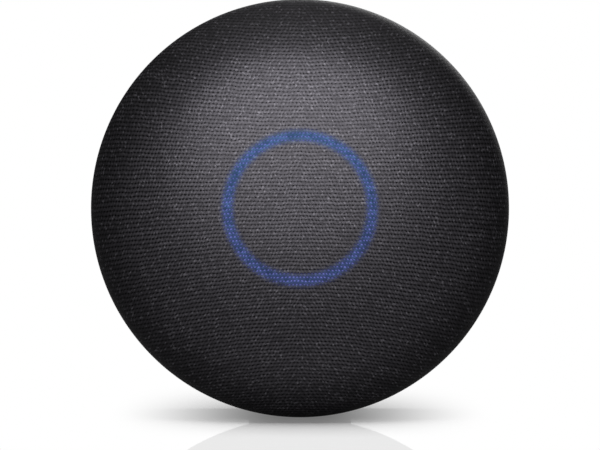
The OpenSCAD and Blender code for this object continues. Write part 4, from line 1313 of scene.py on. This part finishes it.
class SPEAKER_OT_stage(Step, bpy.types.Operator):
    """Set up the pale floor, the soft lights, the room and the camera"""

    bl_idname = "speaker.stage"
    bl_label = "Studio"

    def execute(self, context):
        studio = context.scene.speaker.studio
        floor = self.floor(studio)
        self.room(context, studio)
        lift, turn = math.radians(18), math.radians(-1.2)
        key = (FRONT * math.cos(turn) + ACROSS * math.sin(turn)) * math.cos(lift) + UP * math.sin(lift)
        above, behind = Vector((0, 0.03, 1.5)), Vector((0.5, 1.25, 0.75))
        self.softbox(context, "top_softbox", above, Vector((0, 0, 0.05)), (0.9, 0.8), studio.top_power)
        # The other two leave the floor alone, so that only the overhead light's soft shadow shows on it
        unlit = bpy.data.collections.new("lit_from_above_only")
        unlit.objects.link(floor)
        unlit.collection_objects[0].light_linking.link_state = "EXCLUDE"
        for name, place, size, power, shape in (
            ("key_softbox", MIDDLE + key * 1.2, (0.86, 0.84), studio.key_power, "ELLIPSE"),
            ("rear_softbox", behind, (0.9, 0.6), studio.rear_power, "RECTANGLE"),
        ):
            lamp = self.softbox(context, name, place, MIDDLE, size, power, shape)
            lamp.light_linking.receiver_collection = unlit
        camera = bpy.data.cameras.new("camera")
        camera.lens, camera.sensor_width = studio.lens, 36
        camera.clip_start, camera.clip_end = 0.05, 100
        stand = MIDDLE - UP * studio.camera_drop + FRONT * studio.camera_distance
        context.scene.camera = self.held(context, camera, stand, LEAN)
        context.scene.view_settings.view_transform = "Standard"
        return {"FINISHED"}

    def held(self, context, data, place, turn):
        """An object for a lamp or camera, in the scene."""
        holder = bpy.data.objects.new(data.name, data)
        holder.matrix_world = Matrix.Translation(place) @ turn
        context.scene.collection.objects.link(holder)
        return holder

    def softbox(self, context, name, place, aim, size, power, shape="RECTANGLE"):
        lamp = bpy.data.lights.new(name, "AREA")
        lamp.shape, lamp.size, lamp.size_y, lamp.energy = shape, *size, power
        return self.held(context, lamp, place, (place - aim).to_track_quat("Z", "Y").to_matrix().to_4x4())

    def floor(self, studio):
        """White card that goes plain white a little way off, with a faint mirror in front."""
        shape = bmesh.new()
        bmesh.ops.create_circle(shape, cap_ends=True, segments=96, radius=studio.floor_radius)
        floor = new_piece("studio_floor", shape)
        white, pale = (1, 1, 1, 1), (0.85, 0.85, 0.85, 1)
        f = Finish("studio_floor", Base_Color=pale, Roughness=0.6, Specular_IOR_Level=0.0)
        # White again a little way off, sooner at the sides than in front or behind
        radius = f.vector("LENGTH", f.vector("MULTIPLY", f.place, (1.0, 0.5, 1.0)))
        shiny = f.most(f.ray("Is Glossy Ray"), f.ray("Is Transmission Ray"))
        seen = f.most(f.ray("Is Camera Ray"), shiny * 0.4)
        f.set(Emission_Color=white, Emission_Strength=seen * 0.17)
        card = f.out("ShaderNodeEmission", Color=white, Strength=f.most(seen, 0.3))
        off = f.remap(radius, 0.008, 0.075, smooth=True)
        mix = f.fill("ShaderNodeMixShader", (off, Value(f, f.shader.outputs[0]), card))
        # A faint mirror in front of the foot, past the gap under the rim, seen at a low angle
        mirror = f.out("ShaderNodeBsdfGlossy", Color=white, Roughness=0.0)
        ahead = f.remap(f.apart(f.place)[1], -0.008, -0.028, 0.0, studio.mirror, smooth=True)
        near = f.remap(f.vector("LENGTH", f.place), 0.11, 0.15, 1.0, 0.0, smooth=True)
        low = f.out("ShaderNodeLayerWeight", "Facing", Blend=0.5) ** 2.0
        shine = f.fill("ShaderNodeMixShader", (ahead * near * low, mix, mirror))
        f.put(f.output.inputs["Surface"], shine)
        f.material.cycles.emission_sampling = "NONE"
        floor.data.materials.append(f.material)
        return floor

    def room(self, context, studio):
        """Even dim light, and a bright side behind the camera that only gloss sees."""
        world = bpy.data.worlds.new("studio_room")
        world.use_nodes = True
        context.scene.world = world
        g = Graph(world.node_tree)
        g.tree.nodes.clear()
        look = g.apart(g.out("ShaderNodeTexCoord", "Generated"))
        # The floor's mirror sees white all round
        side = g.remap(look[1], 0.93, 0.985, 0.02, 1.0, smooth=True)
        bright = g.most(side, g.ray("Is Singular Ray"))
        shiny = g.most(g.ray("Is Glossy Ray"), g.ray("Is Transmission Ray"))
        other = shiny * bright + (1.0 - shiny) * studio.fill
        camera = g.ray("Is Camera Ray")
        strength = camera + (1.0 - camera) * other
        back = g.out("ShaderNodeBackground", Color=(1, 1, 1, 1), Strength=strength)
        g.add("ShaderNodeOutputWorld", Surface=back)


# ---------- panel ----------


class SPEAKER_PT_finish(bpy.types.Panel):
    """The speaker's pieces and settings"""

    bl_idname = "SPEAKER_PT_finish"
    bl_label = "Disc Speaker"
    bl_space_type = "VIEW_3D"
    bl_region_type = "UI"
    bl_category = "Speaker"

    def draw(self, context):
        settings = context.scene.speaker
        for title, group in settings.bl_rna.properties.items():
            if group.type != "POINTER" or title == "rna_type":
                continue
            box = self.layout.box()
            box.label(text=group.name)
            for name in group.fixed_type.properties.keys():
                if name not in ("rna_type", "name"):
                    box.prop(getattr(settings, title), name)
        for step in STEPS:
            self.layout.operator(step.bl_idname)


STEPS = (
    SPEAKER_OT_cloth_skin,
    SPEAKER_OT_screws,
    SPEAKER_OT_toe,
    SPEAKER_OT_key_marks,
    SPEAKER_OT_suspension,
    SPEAKER_OT_finishes,
    SPEAKER_OT_stage,
)
GROUPS = (
    SpeakerCloth,
    SpeakerLight,
    SpeakerScrews,
    SpeakerToe,
    SpeakerMarks,
    SpeakerSuspension,
    SpeakerColours,
    SpeakerStudio,
    SpeakerSettings,
)
CLASSES = (*GROUPS, *STEPS, SPEAKER_PT_finish)


def register():
    for cls in CLASSES:
        bpy.utils.register_class(cls)
    bpy.types.Scene.speaker = PointerProperty(type=SpeakerSettings)


def unregister():
    del bpy.types.Scene.speaker
    for cls in reversed(CLASSES):
        bpy.utils.unregister_class(cls)


def main():
    register()
    bpy.ops.speaker.cloth_skin()
    bpy.ops.speaker.screws()
    bpy.ops.speaker.toe()
    bpy.ops.speaker.key_marks()
    bpy.ops.speaker.suspension()
    bpy.ops.speaker.finishes()
    bpy.ops.speaker.stage()


if __name__ == "__main__":
    main()
